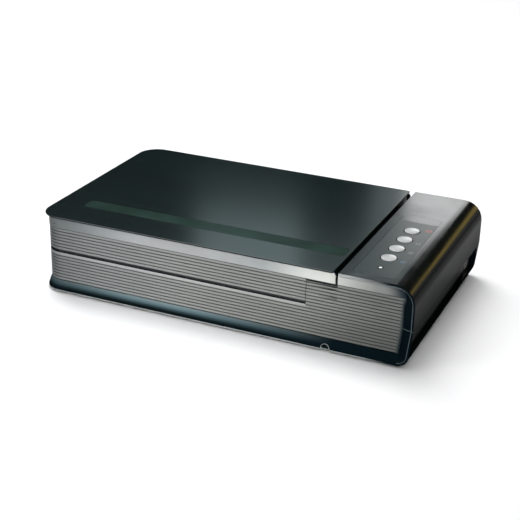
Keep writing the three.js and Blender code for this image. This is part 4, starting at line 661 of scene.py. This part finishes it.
def dress_overlay(look):
    """The panel's film; behind the end of its print it is as black and glossy as the cover."""
    look.paint(BLACK, look.rising("Y", *PRINT_EDGE))
    look.set("Roughness", look.along("Y", FILM_ROUGHNESS, COVER_ROUGHNESS, *PRINT_EDGE))


def make_materials():
    looks = {key: plain_look(*row) for key, row in LOOKS.items()}
    for key, colour in MARK_COLOURS.items():
        looks[key] = plain_look(f"mark_{key}", colour, *MARK_LOOK)
    for key in ("cover", "case"):
        dress_black(looks[key])
    dress_cover(looks["cover"])
    dress_case(looks["case"])
    dress_silver(looks["silver"])
    dress_overlay(looks["overlay"])
    looks["lid"].matt_sides(LID_SIDE_LEVEL, LID_SIDE)
    looks["stripe"].set("Specular IOR Level", STRIPE_LEVEL)
    # Painted highlight along the bead, fading towards the spine.
    looks["bead"].tones("X", LIP_HIGHLIGHT_TONES)
    # Painted shade: the caps go dark below their tops, in the gap round them.
    for key in ("button", "light"):
        looks[key].paint(DEEP_SHADE, looks[key].falling("Z", *BUTTON_SHADE))
    looks["glass"].set("Transmission Weight", GLASS_CLEARNESS)
    looks["glass"].set("IOR", GLASS_INDEX)
    return {key: look.material for key, look in looks.items()}


# Meshes
class Body:
    """A mesh in the making, with points counted from the loose front corner."""

    def __init__(self):
        self.vertices = []
        self.faces = []
        self.shares = {}

    def tube(self, rings):
        """Adds faces through closed rings of equal count, and returns the first vertex's number."""
        start = len(self.vertices)
        count = len(rings[0])
        for ring in rings:
            self.vertices += ring
        for first in range(start, len(self.vertices) - count, count):
            for i in range(count):
                a = first + i
                b = first + (i + 1) % count
                self.faces.append((a, b, b + count, a + count))
        return start

    def cap(self, outer, holes=()):
        """Fills the flat region between an outer ring of vertex numbers and its holes."""
        loops = [outer, *holes]
        points = [[Vector(self.vertices[i]) for i in loop] for loop in loops]
        numbers = [i for loop in loops for i in loop]
        for triangle in tessellate_polygon(points):
            self.faces.append(tuple(numbers[i] for i in triangle))

    def build(self, name, material, corner=CORNER):
        """The finished piece, with doubles merged and its faces turned outward."""
        mesh = bpy.data.meshes.new(name)
        mesh.from_pydata([Vector(v) + corner for v in self.vertices], [], self.faces)
        for key, values in self.shares.items():
            mesh.attributes.new(key, "FLOAT", "POINT").data.foreach_set("value", values)
        work = bmesh.new()
        work.from_mesh(mesh)
        bmesh.ops.remove_doubles(work, verts=work.verts, dist=MERGE_DISTANCE)
        bmesh.ops.recalc_face_normals(work, faces=work.faces)
        work.to_mesh(mesh)
        work.free()
        mesh.materials.append(material)
        obj = bpy.data.objects.new(name, mesh)
        bpy.context.scene.collection.objects.link(obj)
        return obj


def smooth_tree():
    """A node group that merges the split corners of a mesh and smooths it below an edge angle."""
    tree = bpy.data.node_groups.new("smooth_by_angle", "GeometryNodeTree")
    for side in ("INPUT", "OUTPUT"):
        tree.interface.new_socket("Geometry", in_out=side, socket_type="NodeSocketGeometry")
    angle = add_node(tree, "GeometryNodeInputMeshEdgeAngle").outputs["Unsigned Angle"]
    compare = {"data_type": "FLOAT", "operation": "GREATER_THAN"}
    sharp = add_node(tree, "FunctionNodeCompare", {"A": angle, "B": SMOOTH_ANGLE}, **compare)
    sharp_edges = {"Selection": sharp.outputs["Result"], "Shade Smooth": False}
    geometry = add_node(tree, "NodeGroupInput").outputs["Geometry"]
    for kind, inputs, settings in (
        ("GeometryNodeRemoveAttribute", {"Name": "custom_normal"}, {}),
        ("GeometryNodeMergeByDistance", {"Distance": CAD_MERGE_DISTANCE}, {}),
        ("GeometryNodeSetShadeSmooth", {}, {"domain": "FACE"}),
        ("GeometryNodeSetShadeSmooth", sharp_edges, {"domain": "EDGE"}),
    ):
        geometry = add_node(tree, kind, {"Geometry": geometry, **inputs}, **settings).outputs["Geometry"]
    add_node(tree, "NodeGroupOutput", {"Geometry": geometry})
    return tree


def soften(obj, tree):
    """Smooths a piece where its faces meet at a flat angle, and keeps its edges sharp."""
    group = obj.modifiers.new("smooth", "NODES")
    group.node_group = tree
    weighted = obj.modifiers.new("weighted", "WEIGHTED_NORMAL")
    weighted.keep_sharp = True
    weighted.mode = "FACE_AREA_WITH_ANGLE"


def mixed(first, second, share):
    return first + (second - first) * share


def smoothstep(share):
    share = min(max(share, 0.0), 1.0)
    return share * share * (3 - 2 * share)


def arc(cx, cy, radius, first, last, steps):
    """Points on an arc between two angles in radians, both ends included."""
    turns = [first + (last - first) * i / steps for i in range(steps + 1)]
    return [(cx + radius * cos(turn), cy + radius * sin(turn)) for turn in turns]


def circle(cx, cy, radius, steps=ROUND_STEPS):
    return arc(cx, cy, radius, 0.0, 2 * pi, steps)[:-1]


def rounded(corners):
    """A closed outline through corners (x, y, radius), each rounded by its own radius, anticlockwise."""
    points = []
    count = len(corners)
    for i, (x, y, radius) in enumerate(corners):
        here = Vector((x, y))
        before = (Vector(corners[i - 1][:2]) - here).normalized()
        after = (Vector(corners[(i + 1) % count][:2]) - here).normalized()
        half = before.angle(after) / 2
        centre = here + (before + after).normalized() * radius / sin(half)
        reach = radius / tan(half)
        start = here + before * reach - centre
        end = here + after * reach - centre
        first = atan2(start.y, start.x)
        turn = (atan2(end.y, end.x) - first) % (2 * pi)
        points += arc(centre.x, centre.y, radius, first, first + turn, CURVE_STEPS)
    return points


def box_outline(x0, x1, y0, y1, radius):
    return rounded([(x0, y0, radius), (x1, y0, radius), (x1, y1, radius), (x0, y1, radius)])


def drawn_in(outline, distance):
    """An outline moved in by a distance, corner by corner."""
    count = len(outline)
    moved = []
    for i in range(count):
        a, b, c = (Vector(outline[k % count]) for k in (i - 1, i, i + 1))
        first = (b - a).normalized()
        second = (c - b).normalized()
        normal = (Vector((-first.y, first.x)) + Vector((-second.y, second.x))).normalized()
        lean = max(normal.dot(Vector((-first.y, first.x))), SHARPEST_LEAN)
        moved.append(tuple(b + normal * distance / lean))
    return moved


def at_height(outline, z):
    return [(x, y, z) for x, y in outline]


def edge_rings(outline, bottom, top, radius):
    """Rings from the bottom of a plate to its top, with a round on both edges."""
    rings = []
    for side, level in ((-1, bottom), (1, top)):
        for k in range(EDGE_STEPS + 1):
            turn = pi / 2 * k / EDGE_STEPS
            turn = pi / 2 - turn if side < 0 else turn
            inward = radius * (1 - cos(turn))
            height = level - side * radius * (1 - sin(turn))
            rings.append(at_height(drawn_in(outline, inward), height))
    return rings


def span(start, count):
    return list(range(start, start + count))


def capped_tube(name, rings, material):
    """A closed body through rings, with one flat face at either end."""
    body = Body()
    body.tube(rings)
    count = len(rings[0])
    body.faces += [tuple(span(0, count)), tuple(span(len(body.vertices) - count, count))]
    return body.build(name, material)


def plate(name, outline, bottom, top, radius, material, holes=()):
    """A flat plate with rounded rims and clean holes."""
    body = Body()
    body.tube(edge_rings(outline, bottom, top, radius))
    count = len(outline)
    upper = span(len(body.vertices) - count, count)
    low_holes = []
    high_holes = []
    for hole in holes:
        wide = drawn_in(hole, -radius)
        start = body.tube([at_height(hole, bottom), at_height(hole, top - radius), at_height(wide, top)])
        low_holes.append(span(start, len(hole)))
        high_holes.append(span(start + 2 * len(hole), len(hole)))
    body.cap(span(0, count), low_holes)
    body.cap(upper, high_holes)
    return body.build(name, material)


def lathe(name, centre, profile, material, steps=ROUND_STEPS):
    """A closed solid turned round a vertical axis from (radius, height) points, both ends on the axis."""
    body = Body()
    body.tube([at_height(circle(*centre, radius, steps), z) for radius, z in profile[1:-1]])
    for first, (_, z) in ((0, profile[0]), (len(body.vertices) - steps, profile[-1])):
        middle = len(body.vertices)
        body.vertices.append((*centre, z))
        body.faces += [(first + i, first + (i + 1) % steps, middle) for i in range(steps)]
    return body.build(name, material)


# Page block
def rim_width(turn):
    """Width of the covers' dark rim at an angle round the top of the spine."""
    return mixed(BEZEL_WIDTH, WALL, turn / (pi / 2)) + GAP


def block_end(z):
    """Where the page block ends at the spine, at a height: it follows the covers' dark rim."""
    if z <= SEAM_HEIGHT:
        return LENGTH - (BEZEL_WIDTH + GAP) / cos(SPINE_LEAN) - (SEAM_HEIGHT - z) * tan(SPINE_LEAN)
    if z <= SPINE_TOP_Z:
        return LENGTH - BEZEL_WIDTH - GAP
    low = 0.0
    high = pi / 2
    for _ in range(HALVINGS):
        turn = (low + high) / 2
        if SPINE_TOP_Z + (SPINE_TOP_RADIUS - rim_width(turn)) * sin(turn) < z:
            low = turn
        else:
            high = turn
    return SPINE_TOP_X + (SPINE_TOP_RADIUS - rim_width(low)) * cos(low)


def wall_section():
    """The wall's whole outer face as (depth share, height) points: the boards, then the plain band."""
    points = []
    for page in range(PAGE_COUNT):
        points += [(deep, PAGES_BOTTOM + (page + up) * PAGE_PITCH) for up, deep in BOARD_PROFILE]
    shoulder = arc(0.0, 0.0, 1.0, 0.0, pi / 2, SHOULDER_STEPS)
    points += [(deep, BAND_BOTTOM + BAND_SHOULDER * up) for deep, up in shoulder]
    foot = BAND_BOTTOM + BAND_SHOULDER
    points += [(0.0, mixed(foot, HEIGHT, k / BAND_STEPS)) for k in range(1, BAND_STEPS + 1)]
    return points


def cut_section(points, bottom, top):
    """The part of a section between two heights, with a point at either cut."""
    kept = []
    for (deep_0, z_0), (deep_1, z_1) in zip(points, points[1:]):
        if z_1 <= bottom or z_0 >= top:
            continue
        for z in (max(z_0, bottom), min(z_1, top)):
            if not kept or z > kept[-1][1] + SAME_HEIGHT:
                kept.append((mixed(deep_0, deep_1, (z - z_0) / (z_1 - z_0)), z))
    return kept


def inset_of(deep, z, groove):
    """How far the wall's face lies in from the covers' outline."""
    if z > BAND_BOTTOM:
        return mixed(BAND_INSET, PAGE_INSET + GROOVE_DEPTH * groove, deep)
    return PAGE_INSET + GROOVE_DEPTH * deep * groove


def end_shade(z, ending):
    """How much painted shade the boards take near the spine; the plain band darkens over a longer way."""
    if ending is None:
        return 0.0
    return 1 - smoothstep(ending / (END_FADE_BAND if z > BAND_BOTTOM else END_FADE))


def section_loop(section, station, dark_nose, plain_board):
    """The wall's closed section at a station, as (inset, height, groove, dark end) points; the inner faces,
    and the noses by the gaps, take full painted shade.
    """
    x, y, _, groove, ending = station
    dark = dark_nose and ending is None and y > DEPTH / 2 and x > DARK_NOSE
    loop = []
    for deep, z in section:
        share = 0.0 if plain_board and x < STEP_LEFT and z > PLAIN_BOARD else groove
        shade = 1.0 if dark else end_shade(z, ending)
        loop.append((inset_of(deep, z, share), z, deep * share, shade))
    foot, bottom = loop[0][:2]
    head, top = loop[-1][:2]
    inner = [(head + EDGE_TURN, top), (PAGE_INNER, top), (PAGE_INNER, bottom), (foot + EDGE_TURN, bottom)]
    return loop + [(inset, z, 1.0, 1.0) for inset, z in inner]


class PageWall(Body):
    """Closed walls, each a section carried through stations round the block.

    A station is x, y, the way in as an angle, how deep the grooves are there, and the share of
    the way from the spine's end, or None away from it.
    """

    def wall(self, stations, bottom, top, top_of=None, bottom_of=None, dark_nose=False, plain_board=False):
        section = cut_section(wall_section(), bottom, top)
        rings = []
        for station in stations:
            x, y, turn, _, ending = station
            high = top_of(x) if top_of else top
            low = bottom_of(x, y) if bottom_of else bottom
            ring = []
            for inset, z, groove, end in section_loop(section, station, dark_nose, plain_board):
                z = min(max(z, low), high)
                reach = 0.0 if ending is None else (block_end(z) - block_end(PAGES_BOTTOM)) * (1 - ending)
                ring.append((x + inset * cos(turn) + reach, y + inset * sin(turn), z))
                # The points carry where painted shade falls: in the grooves, near the spine, on the noses and
                # on the inner faces.
                self.shares.setdefault("groove", []).append(groove)
                self.shares.setdefault("end", []).append(end)
            rings.append(ring)
        start = self.tube(rings)
        for first in (start, len(self.vertices) - len(ring)):
            self.cap(span(first, len(ring)))


def front_station(x, groove=1.0, ending=None):
    return (x, 0.0, pi / 2, groove, ending)


def rear_station(x, groove=1.0, ending=None):
    return (x, DEPTH, -pi / 2, groove, ending)


def turned_back(stations):
    """The same run along the rear, from left to right."""
    return [rear_station(x, groove, ending) for x, _, _, groove, ending in reversed(stations)]


def spine_run(right):
    """Stations at the spine's end of the front; the grooves fade out there."""
    return [front_station(right - END_REACH * s, smoothstep(s / END_FADE), s) for s in END_SHARES]


def front_run(right):
    """Stations along the front, from the spine to the loose corner."""
    stations = spine_run(right)
    stations += [front_station(STEP_LEFT + side * HAIR) for side in (1, -1)]
    fade = [PAGE_FADE * (1 - k / FADE_STEPS) for k in range(FADE_STEPS + 1)]
    return stations + [front_station(COVER_CORNER + reach) for reach in fade]


def left_run(back):
    """Stations along the left side, from the front corner back; the grooves fade out at both ends."""
    shares = [k / FADE_STEPS for k in range(FADE_STEPS + 1)]
    stations = [(0.0, COVER_CORNER + PAGE_FADE * s, 0.0, smoothstep(s), None) for s in shares]
    stations += [(0.0, back - PAGE_FADE * s, 0.0, smoothstep(s), None) for s in reversed(shares)]
    return stations


def corner_run(centre_y, first):
    """Stations round a loose corner; the boards fade out there, where a smooth post is left."""
    low, high = CORNER_FADE
    stations = []
    for i in range(CURVE_STEPS + 1):
        turn = first - pi / 2 * i / CURVE_STEPS
        x = COVER_CORNER - COVER_CORNER * cos(turn)
        y = centre_y - COVER_CORNER * sin(turn)
        stations.append((x, y, turn, smoothstep((abs(turn) - low) / (high - low)), None))
    return stations


def nose_places(free_end, radius, side):
    """Places along the front at which the rounded free end of a wall has its stations."""
    turns = [pi / 2 * k / NOSE_STEPS for k in range(NOSE_STEPS + 1)]
    return [free_end + side * radius * (1 - cos(turn)) for turn in turns]


def nose_top(free_end, top, radius, side):
    """Height of a wall's top near its rounded free end."""

    def height(x):
        along = (x - free_end) * side
        if along >= radius:
            return top
        return top - radius + sqrt(max(radius * radius - (radius - along) ** 2, 0.0))

    return height


def notch_bottom(x, y):
    """The lid frame's lower edge, notched for the hinge posts at the rear."""
    near = [abs(x - place) < POST_NOTCH_HALF for place in HINGE_PLACES]
    return POST_NOTCH_TOP if y > DEPTH / 2 and any(near) else HINGE_HEIGHT


def base_block(material):
    block = PageWall()
    end_x = block_end(PAGES_BOTTOM)
    run = front_run(end_x)
    front_corner = corner_run(COVER_CORNER, pi / 2)
    rear_corner = corner_run(DEPTH - COVER_CORNER, 0.0)
    side = left_run(DEPTH - COVER_CORNER)
    around = run + front_corner[1:-1] + side + rear_corner[1:-1] + turned_back(run)
    block.wall(around, PAGES_BOTTOM, BASE_PART_TOP, plain_board=True)
    block.wall([front_station(BLOCK_LEFT), front_station(STEP_LEFT)], BASE_PART_TOP, STEP_TOP)
    nose = nose_places(BLOCK_LEFT, BLOCK_NOSE, 1)
    tab = spine_run(end_x) + [front_station(x) for x in reversed(nose)]
    tab_top = nose_top(BLOCK_LEFT, BLOCK_TOP, BLOCK_NOSE, 1)
    for stations in (tab, turned_back(tab)):
        block.wall(stations, BASE_PART_TOP, BLOCK_TOP, top_of=tab_top, dark_nose=True)
    rear = [station for station in rear_corner if station[1] >= REAR_START]
    rear += [rear_station(COVER_CORNER + PAGE_FADE * k / FADE_STEPS) for k in range(1, FADE_STEPS + 1)]
    rear.append(rear_station(BLOCK_LEFT))
    block.wall(rear, BASE_PART_TOP, REAR_TOP)
    return block.build("page_block_base", material)


def lid_block(material):
    block = PageWall()
    front = [front_station(x) for x in nose_places(LID_FRAME_RIGHT, LID_NOSE, -1)]
    front_corner = corner_run(COVER_CORNER, pi / 2)
    rear_corner = corner_run(DEPTH - COVER_CORNER, 0.0)
    half = POST_NOTCH_HALF
    edges = (-half - HAIR, HAIR - half, half - HAIR, half + HAIR)
    rear = [rear_station(place + edge) for place in HINGE_PLACES for edge in edges]
    side = left_run(DEPTH - COVER_CORNER)
    around = front + front_corner[:-1] + side + rear_corner[1:] + rear + turned_back(front)
    frame_top = nose_top(LID_FRAME_RIGHT, LID_FRAME_TOP, LID_NOSE, -1)
    block.wall(around, HINGE_HEIGHT, LID_FRAME_TOP, frame_top, notch_bottom, dark_nose=True)
    skirt = [front_station(SKIRT_RIGHT)] + front_corner[:-1] + left_run(SKIRT_BACK)
    block.wall(skirt, LID_PART_BOTTOM, HINGE_HEIGHT)
    block.wall([front_station(LID_FRAME_RIGHT), front_station(SKIRT_RIGHT)], BAND_BOTTOM, HINGE_HEIGHT)
    return block.build("page_block_lid", material)


# Lid plate and stripe
def lid_plate(material):
    """The lid's plate, with the stripe's seat sunk into it and a flange under its right edge."""
    right = [(LID_RIGHT, y, PLATE_RIGHT_RADIUS) for y in (0.0, DEPTH)]
    outline = rounded([(0.0, 0.0, COVER_CORNER), *right, (0.0, DEPTH, COVER_CORNER)])
    body = Body()
    body.tube(edge_rings(outline, PLATE_BOTTOM, HEIGHT, PLATE_ROUND))
    count = len(outline)
    upper = span(len(body.vertices) - count, count)
    x0, x1, y0, y1 = STRIPE
    seat = box_outline(x0 - GAP, x1 + GAP, y0 - GAP, y1 + GAP, STRIPE_RADIUS)
    start = body.tube([at_height(seat, z) for z in (HEIGHT, HEIGHT - STRIPE_DEPTH - GAP)])
    body.cap(upper, [span(start, len(seat))])
    body.cap(span(start + len(seat), len(seat)))
    body.cap(span(0, count))
    edge = LID_RIGHT - GAP
    flange = [(FLANGE_LEFT, FLANGE_FRONT), (edge, FLANGE_FRONT)]
    flange += [(edge, FLANGE_BACK), (FLANGE_LEFT, FLANGE_BACK)]
    start = body.tube([at_height(flange, z) for z in (BAND_BOTTOM, PLATE_BOTTOM + GAP)])
    body.faces += [tuple(span(start, 4)), tuple(span(start + 4, 4))]
    return body.build("lid_top", material)


def lid_stripe(material):
    outline = box_outline(*STRIPE, STRIPE_RADIUS)
    return plate("lid_inlay", outline, HEIGHT - STRIPE_DEPTH, HEIGHT, STRIPE_CHAMFER, material)


# Control panel pieces
def panel_overlay(material):
    outline = box_outline(*OVERLAY, OVERLAY_RADIUS)
    holes = [circle(BUTTON_X, y, BUTTON_HOLE) for y in BUTTON_PLACES]
    holes.append(circle(BUTTON_X, LIGHT_Y, LIGHT_HOLE))
    return plate("panel_film", outline, OVERLAY_BOTTOM, HEIGHT, OVERLAY_CHAMFER, material, holes)


def stem_and_collar(bottom, stem, collar_bottom, collar, radius):
    """The hidden lower profile of a cap, up to where it comes out of its collar."""
    return [
        (0.0, bottom),
        (stem, bottom),
        (stem, collar_bottom),
        (radius + collar, collar_bottom),
        (radius + collar, COLLAR_TOP),
        (radius, COLLAR_TOP),
    ]


def button(i, y, material):
    """A round cap with a rounded rim and a slightly domed face."""
    profile = stem_and_collar(STEM_BOTTOM, STEM_RADIUS, BUTTON_COLLAR_BOTTOM, BUTTON_COLLAR, BUTTON_RADIUS)
    rim = (BUTTON_RADIUS - BUTTON_ROUND, BUTTON_TOP - BUTTON_ROUND, BUTTON_ROUND)
    profile += arc(*rim, 0.0, pi / 2, BEND_STEPS)
    profile += [(BUTTON_RADIUS * s, BUTTON_TOP + BUTTON_CROWN * (1 - s * s)) for s in CROWN_SHARES]
    profile.append((0.0, BUTTON_TOP + BUTTON_CROWN))
    return lathe(f"button_cap_{i}", (BUTTON_X, y), profile, material)


def status_light(material):
    """A small domed lens."""
    profile = stem_and_collar(LIGHT_BOTTOM, LIGHT_RADIUS, LIGHT_COLLAR_BOTTOM, LIGHT_COLLAR, LIGHT_RADIUS)
    for degrees in DOME_TURNS:
        turn = radians(degrees)
        profile.append((LIGHT_RADIUS * cos(turn), HEIGHT + LIGHT_DOME * sin(turn)))
    profile.append((0.0, HEIGHT + LIGHT_DOME))
    return lathe("status_lens", (BUTTON_X, LIGHT_Y), profile, material, LIGHT_STEPS)


def light_ring(material):
    """The black ring round the status light: a dark ring that stands in for the shade in the gap round the
    lens.
    """
    inner = LIGHT_RADIUS + GAP / 2
    outer = LIGHT_HOLE - GAP / 2
    section = [(inner, OVERLAY_BOTTOM), (outer, OVERLAY_BOTTOM), (outer, HEIGHT)]
    section += [(outer - GAP, HEIGHT + GAP), (inner, HEIGHT)]
    rings = [at_height(circle(BUTTON_X, LIGHT_Y, radius, LIGHT_STEPS), z) for radius, z in section]
    body = Body()
    body.tube(rings + rings[:1])
    return body.build("status_ring", material)


def lip_arc(centre_x, centre_z, radius, turn):
    """A point on a round of the lip's edge, and the way out from there."""
    out = (cos(turn), sin(turn))
    return (centre_x + radius * out[0], centre_z + radius * out[1]), out


def lip_path():
    """The lip's edge from the panel round the spine to its foot: share of the strip, point, way out."""
    rows = [(1.0, (x, HEIGHT), (0.0, 1.0)) for x in (PANEL_LEFT + GAP, SPINE_TOP_X)]
    for k in range(1, CURVE_STEPS + 1):
        turn = pi / 2 * (1 - k / CURVE_STEPS)
        wide = 1 - smoothstep(2 * k / CURVE_STEPS)
        rows.append((wide, *lip_arc(SPINE_TOP_X, SPINE_TOP_Z, SPINE_TOP_RADIUS, turn)))
    rows.append((0.0, (LENGTH, SEAM_HEIGHT), (1.0, 0.0)))
    for k in range(CURVE_STEPS + 1):
        turn = -SPINE_LEAN - (pi / 2 - SPINE_LEAN) * k / CURVE_STEPS
        rows.append((0.0, *lip_arc(SPINE_FOOT_X, SPINE_FOOT_Z, SPINE_FOOT_RADIUS, turn)))
    return rows


def lip_bead(name, rear, material):
    """A thin bead inside the covers' lip, from the panel round the spine down to its foot; its pale colour is
    a painted highlight.
    """
    rings = []
    for wide, (x, z), (out_x, out_z) in lip_path():
        ring = []
        for narrow, broad in zip(BEAD_SECTION, STRIP_SECTION):
            inward = mixed(narrow[0], broad[0], wide)
            y = mixed(narrow[1], broad[1], wide)
            ring.append((x - inward * out_x, DEPTH - y if rear else y, z - inward * out_z))
        rings.append(ring)
    return capped_tube(name, rings, material)


def notch_bead(material):
    """The pale edge of the snap notch in the front curb: a painted highlight."""
    left, right, foot, top = SNAP
    thick = BEAD_ROUND * 2
    half = (right - left) / 2 - thick
    rise = top - foot - thick
    front = BEAD_FRONT + BEAD_ROUND
    section = [(0.0, BEAD_BACK), (0.0, front), (BEAD_ROUND, BEAD_FRONT), (thick, front), (thick, BEAD_BACK)]
    rings = []
    for k in range(CURVE_STEPS + 1):
        turn = pi * k / CURVE_STEPS
        ring = []
        for reach, y in section:
            x = (left + right) / 2 - (half + reach) * cos(turn)
            ring.append((x, y, foot + (rise + reach) * sin(turn)))
        rings.append(ring)
    return capped_tube("notch_bead", rings, material)


# Small printed marks beside the buttons: open rings and sheets, without any words
def mark(name, outline, material, holes=()):
    return plate(name, outline, HEIGHT, HEIGHT + MARK_HEIGHT, MARK_ROUND, material, holes)


def mark_outline(y, half_x, half_y, radius):
    return box_outline(MARK_X - half_x, MARK_X + half_x, y - half_y, y + half_y, radius)


def mark_ring(name, y, radii, material):
    outer, inner = (circle(MARK_X, y, radius) for radius in radii)
    return mark(name, outer, material, [inner])


def mark_sheet(name, y, half, material):
    outer = mark_outline(y, *half, SHEET_RADIUS)
    inner = mark_outline(y, half[0] - SHEET_RIM, half[1] - SHEET_RIM, SHEET_RIM / 2)
    return mark(name, outer, material, [inner])


def panel_marks(looks):
    first, second, third, fourth = MARK_PLACES
    return [
        mark_ring("mark_ring_red", fourth, RED_RING, looks["red"]),
        mark("mark_square_red", mark_outline(fourth, *RED_SQUARE), looks["red"]),
        mark_sheet("mark_sheet_pale_1", third, WIDE_SHEET, looks["pale"]),
        mark_sheet("mark_sheet_pale_2", second, TALL_SHEET, looks["pale"]),
        mark("mark_line_pale", mark_outline(second, *SHEET_LINE), looks["pale"]),
        mark_ring("mark_ring_blue", first, BLUE_RING, looks["blue"]),
        mark("mark_dot_blue", mark_outline(first, *BLUE_DOT), looks["blue"]),
    ]


# Stage, lights and camera
def floor_look():
    """Grey under the object's light, and white where the camera, a reflection or the glass shows it."""
    look = plain_look(*FLOOR_LOOK)
    look.set("Specular IOR Level", FLOOR_LEVEL)
    rays = look.add("ShaderNodeLightPath").outputs
    seen = [rays[name] for name in ("Is Camera Ray", "Is Glossy Ray", "Is Transmission Ray")]
    return look.paint(FLOOR_SEEN, look.combined("MAXIMUM", seen))


def build_floor():
    """A round floor that bends up into a backdrop all round."""
    profile = [(FLOOR_MIDDLE, 0.0)]
    profile += arc(FLOOR_REACH, FLOOR_BEND, FLOOR_BEND, -pi / 2, 0.0, BEND_STEPS)
    profile.append((FLOOR_REACH + FLOOR_BEND, BACKDROP_TOP))
    body = Body()
    body.tube([at_height(circle(0.0, 0.0, radius, FLOOR_STEPS), z) for radius, z in profile])
    body.faces.append(tuple(span(0, FLOOR_STEPS)))
    floor = body.build("studio_floor", floor_look().material, corner=Vector())
    for polygon in floor.data.polygons:
        polygon.use_smooth = polygon.center.z > 0


def build_world():
    """Light that grows towards the top and towards the right."""
    world = bpy.data.worlds.new("studio")
    bpy.context.scene.world = world
    world.use_nodes = True
    tree = world.node_tree
    place = add_node(tree, "ShaderNodeTexCoord").outputs["Generated"]
    split = add_node(tree, "ShaderNodeSeparateXYZ", {"Vector": place}).outputs
    ramp = add_node(tree, "ShaderNodeValToRGB", {"Fac": split["Z"]})
    set_stops(ramp, [(share, (level, level, level * WORLD_BLUE)) for share, level in WORLD_STOPS])
    side = add_node(tree, "ShaderNodeMapRange", {"Value": split["X"], **WORLD_SIDES})
    background = tree.nodes["Background"].inputs
    feed(tree, background["Color"], ramp.outputs["Color"])
    feed(tree, background["Strength"], side.outputs["Result"])


def area_lamp(name, place, target, size, power, tint, spread):
    data = bpy.data.lights.new(name, "AREA")
    data.shape = "RECTANGLE"
    data.size, data.size_y = size
    data.energy = power
    data.color = tint
    data.spread = radians(spread)
    lamp = bpy.data.objects.new(name, data)
    bpy.context.scene.collection.objects.link(lamp)
    lamp.location = place
    aim = Vector(target) - Vector(place)
    lamp.rotation_euler = aim.to_track_quat("-Z", "Y").to_euler()
    lamp.visible_camera = False


def build_camera():
    level = cos(CAMERA_PITCH)
    forward = Vector((sin(CAMERA_YAW) * level, cos(CAMERA_YAW) * level, sin(CAMERA_PITCH)))
    right = Vector((cos(CAMERA_YAW), -sin(CAMERA_YAW), 0.0))
    up = right.cross(forward)
    turned_right = right * cos(CAMERA_ROLL) + up * sin(CAMERA_ROLL)
    turned_up = up * cos(CAMERA_ROLL) - right * sin(CAMERA_ROLL)
    data = bpy.data.cameras.new("camera")
    data.sensor_width = CAMERA_SENSOR
    data.lens = CAMERA_LENS
    data.clip_start = CAMERA_NEAR
    camera = bpy.data.objects.new("camera", data)
    bpy.context.scene.collection.objects.link(camera)
    axes = Matrix((turned_right, turned_up, -forward)).transposed().to_4x4()
    camera.matrix_world = Matrix.Translation(CAMERA_PLACE) @ axes
    bpy.context.scene.camera = camera


# Assembly
def dress_cad(nodes, looks, tree):
    for look, names in CAD_LOOKS.items():
        for name in names:
            node = nodes[name]
            node.data.materials.clear()
            node.data.materials.append(looks[look])
            soften(node, tree)


def make_pieces(looks):
    """Yields each piece but the marks, with its body, its slot and the CAD node that it replaces."""
    yield base_block(looks["silver"]), "base", "page_silver", "page_wall"
    yield lid_block(looks["silver"]), "lid", "page_silver", "lid_frame"
    yield lid_plate(looks["lid"]), "lid", "cover_black", "lid_plate"
    yield lid_stripe(looks["stripe"]), "lid", "stripe_gloss", "lid_stripe"
    yield panel_overlay(looks["overlay"]), "base", "overlay_grey", "panel_overlay"
    yield status_light(looks["light"]), "base", "white_plastic", "status_light"
    for i, y in enumerate(BUTTON_PLACES, 1):
        yield button(i, y, looks["button"]), f"button_{i}", "button_silver", f"scan_button_{i}"
    for name, rear in (("lip_bead_front", False), ("lip_bead_rear", True)):
        yield lip_bead(name, rear, looks["bead"]), "base", "cover_black", None
    yield light_ring(looks["rubber"]), "base", "rubber_black", None
    yield notch_bead(looks["bead"]), "base", "cover_black", None


def add_piece(obj, body, slot, node, tree):
    """Puts a piece on its body, in the place of its CAD node if it has one."""
    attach(obj, body)
    if node:
        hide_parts(node)
    soften(obj, tree)


def main():
    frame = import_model()
    looks = make_materials()
    tree = smooth_tree()
    build_camera()
    dress_cad(frame["nodes"], looks, tree)
    for obj, body, slot, node in make_pieces(looks):
        add_piece(obj, body, slot, node, tree)
    for mark_piece in panel_marks(looks):
        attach(mark_piece, "base")
    build_floor()
    build_world()
    for lamp in LAMPS:
        area_lamp(*lamp)
    bpy.context.scene.view_settings.view_transform = "Standard"


main()
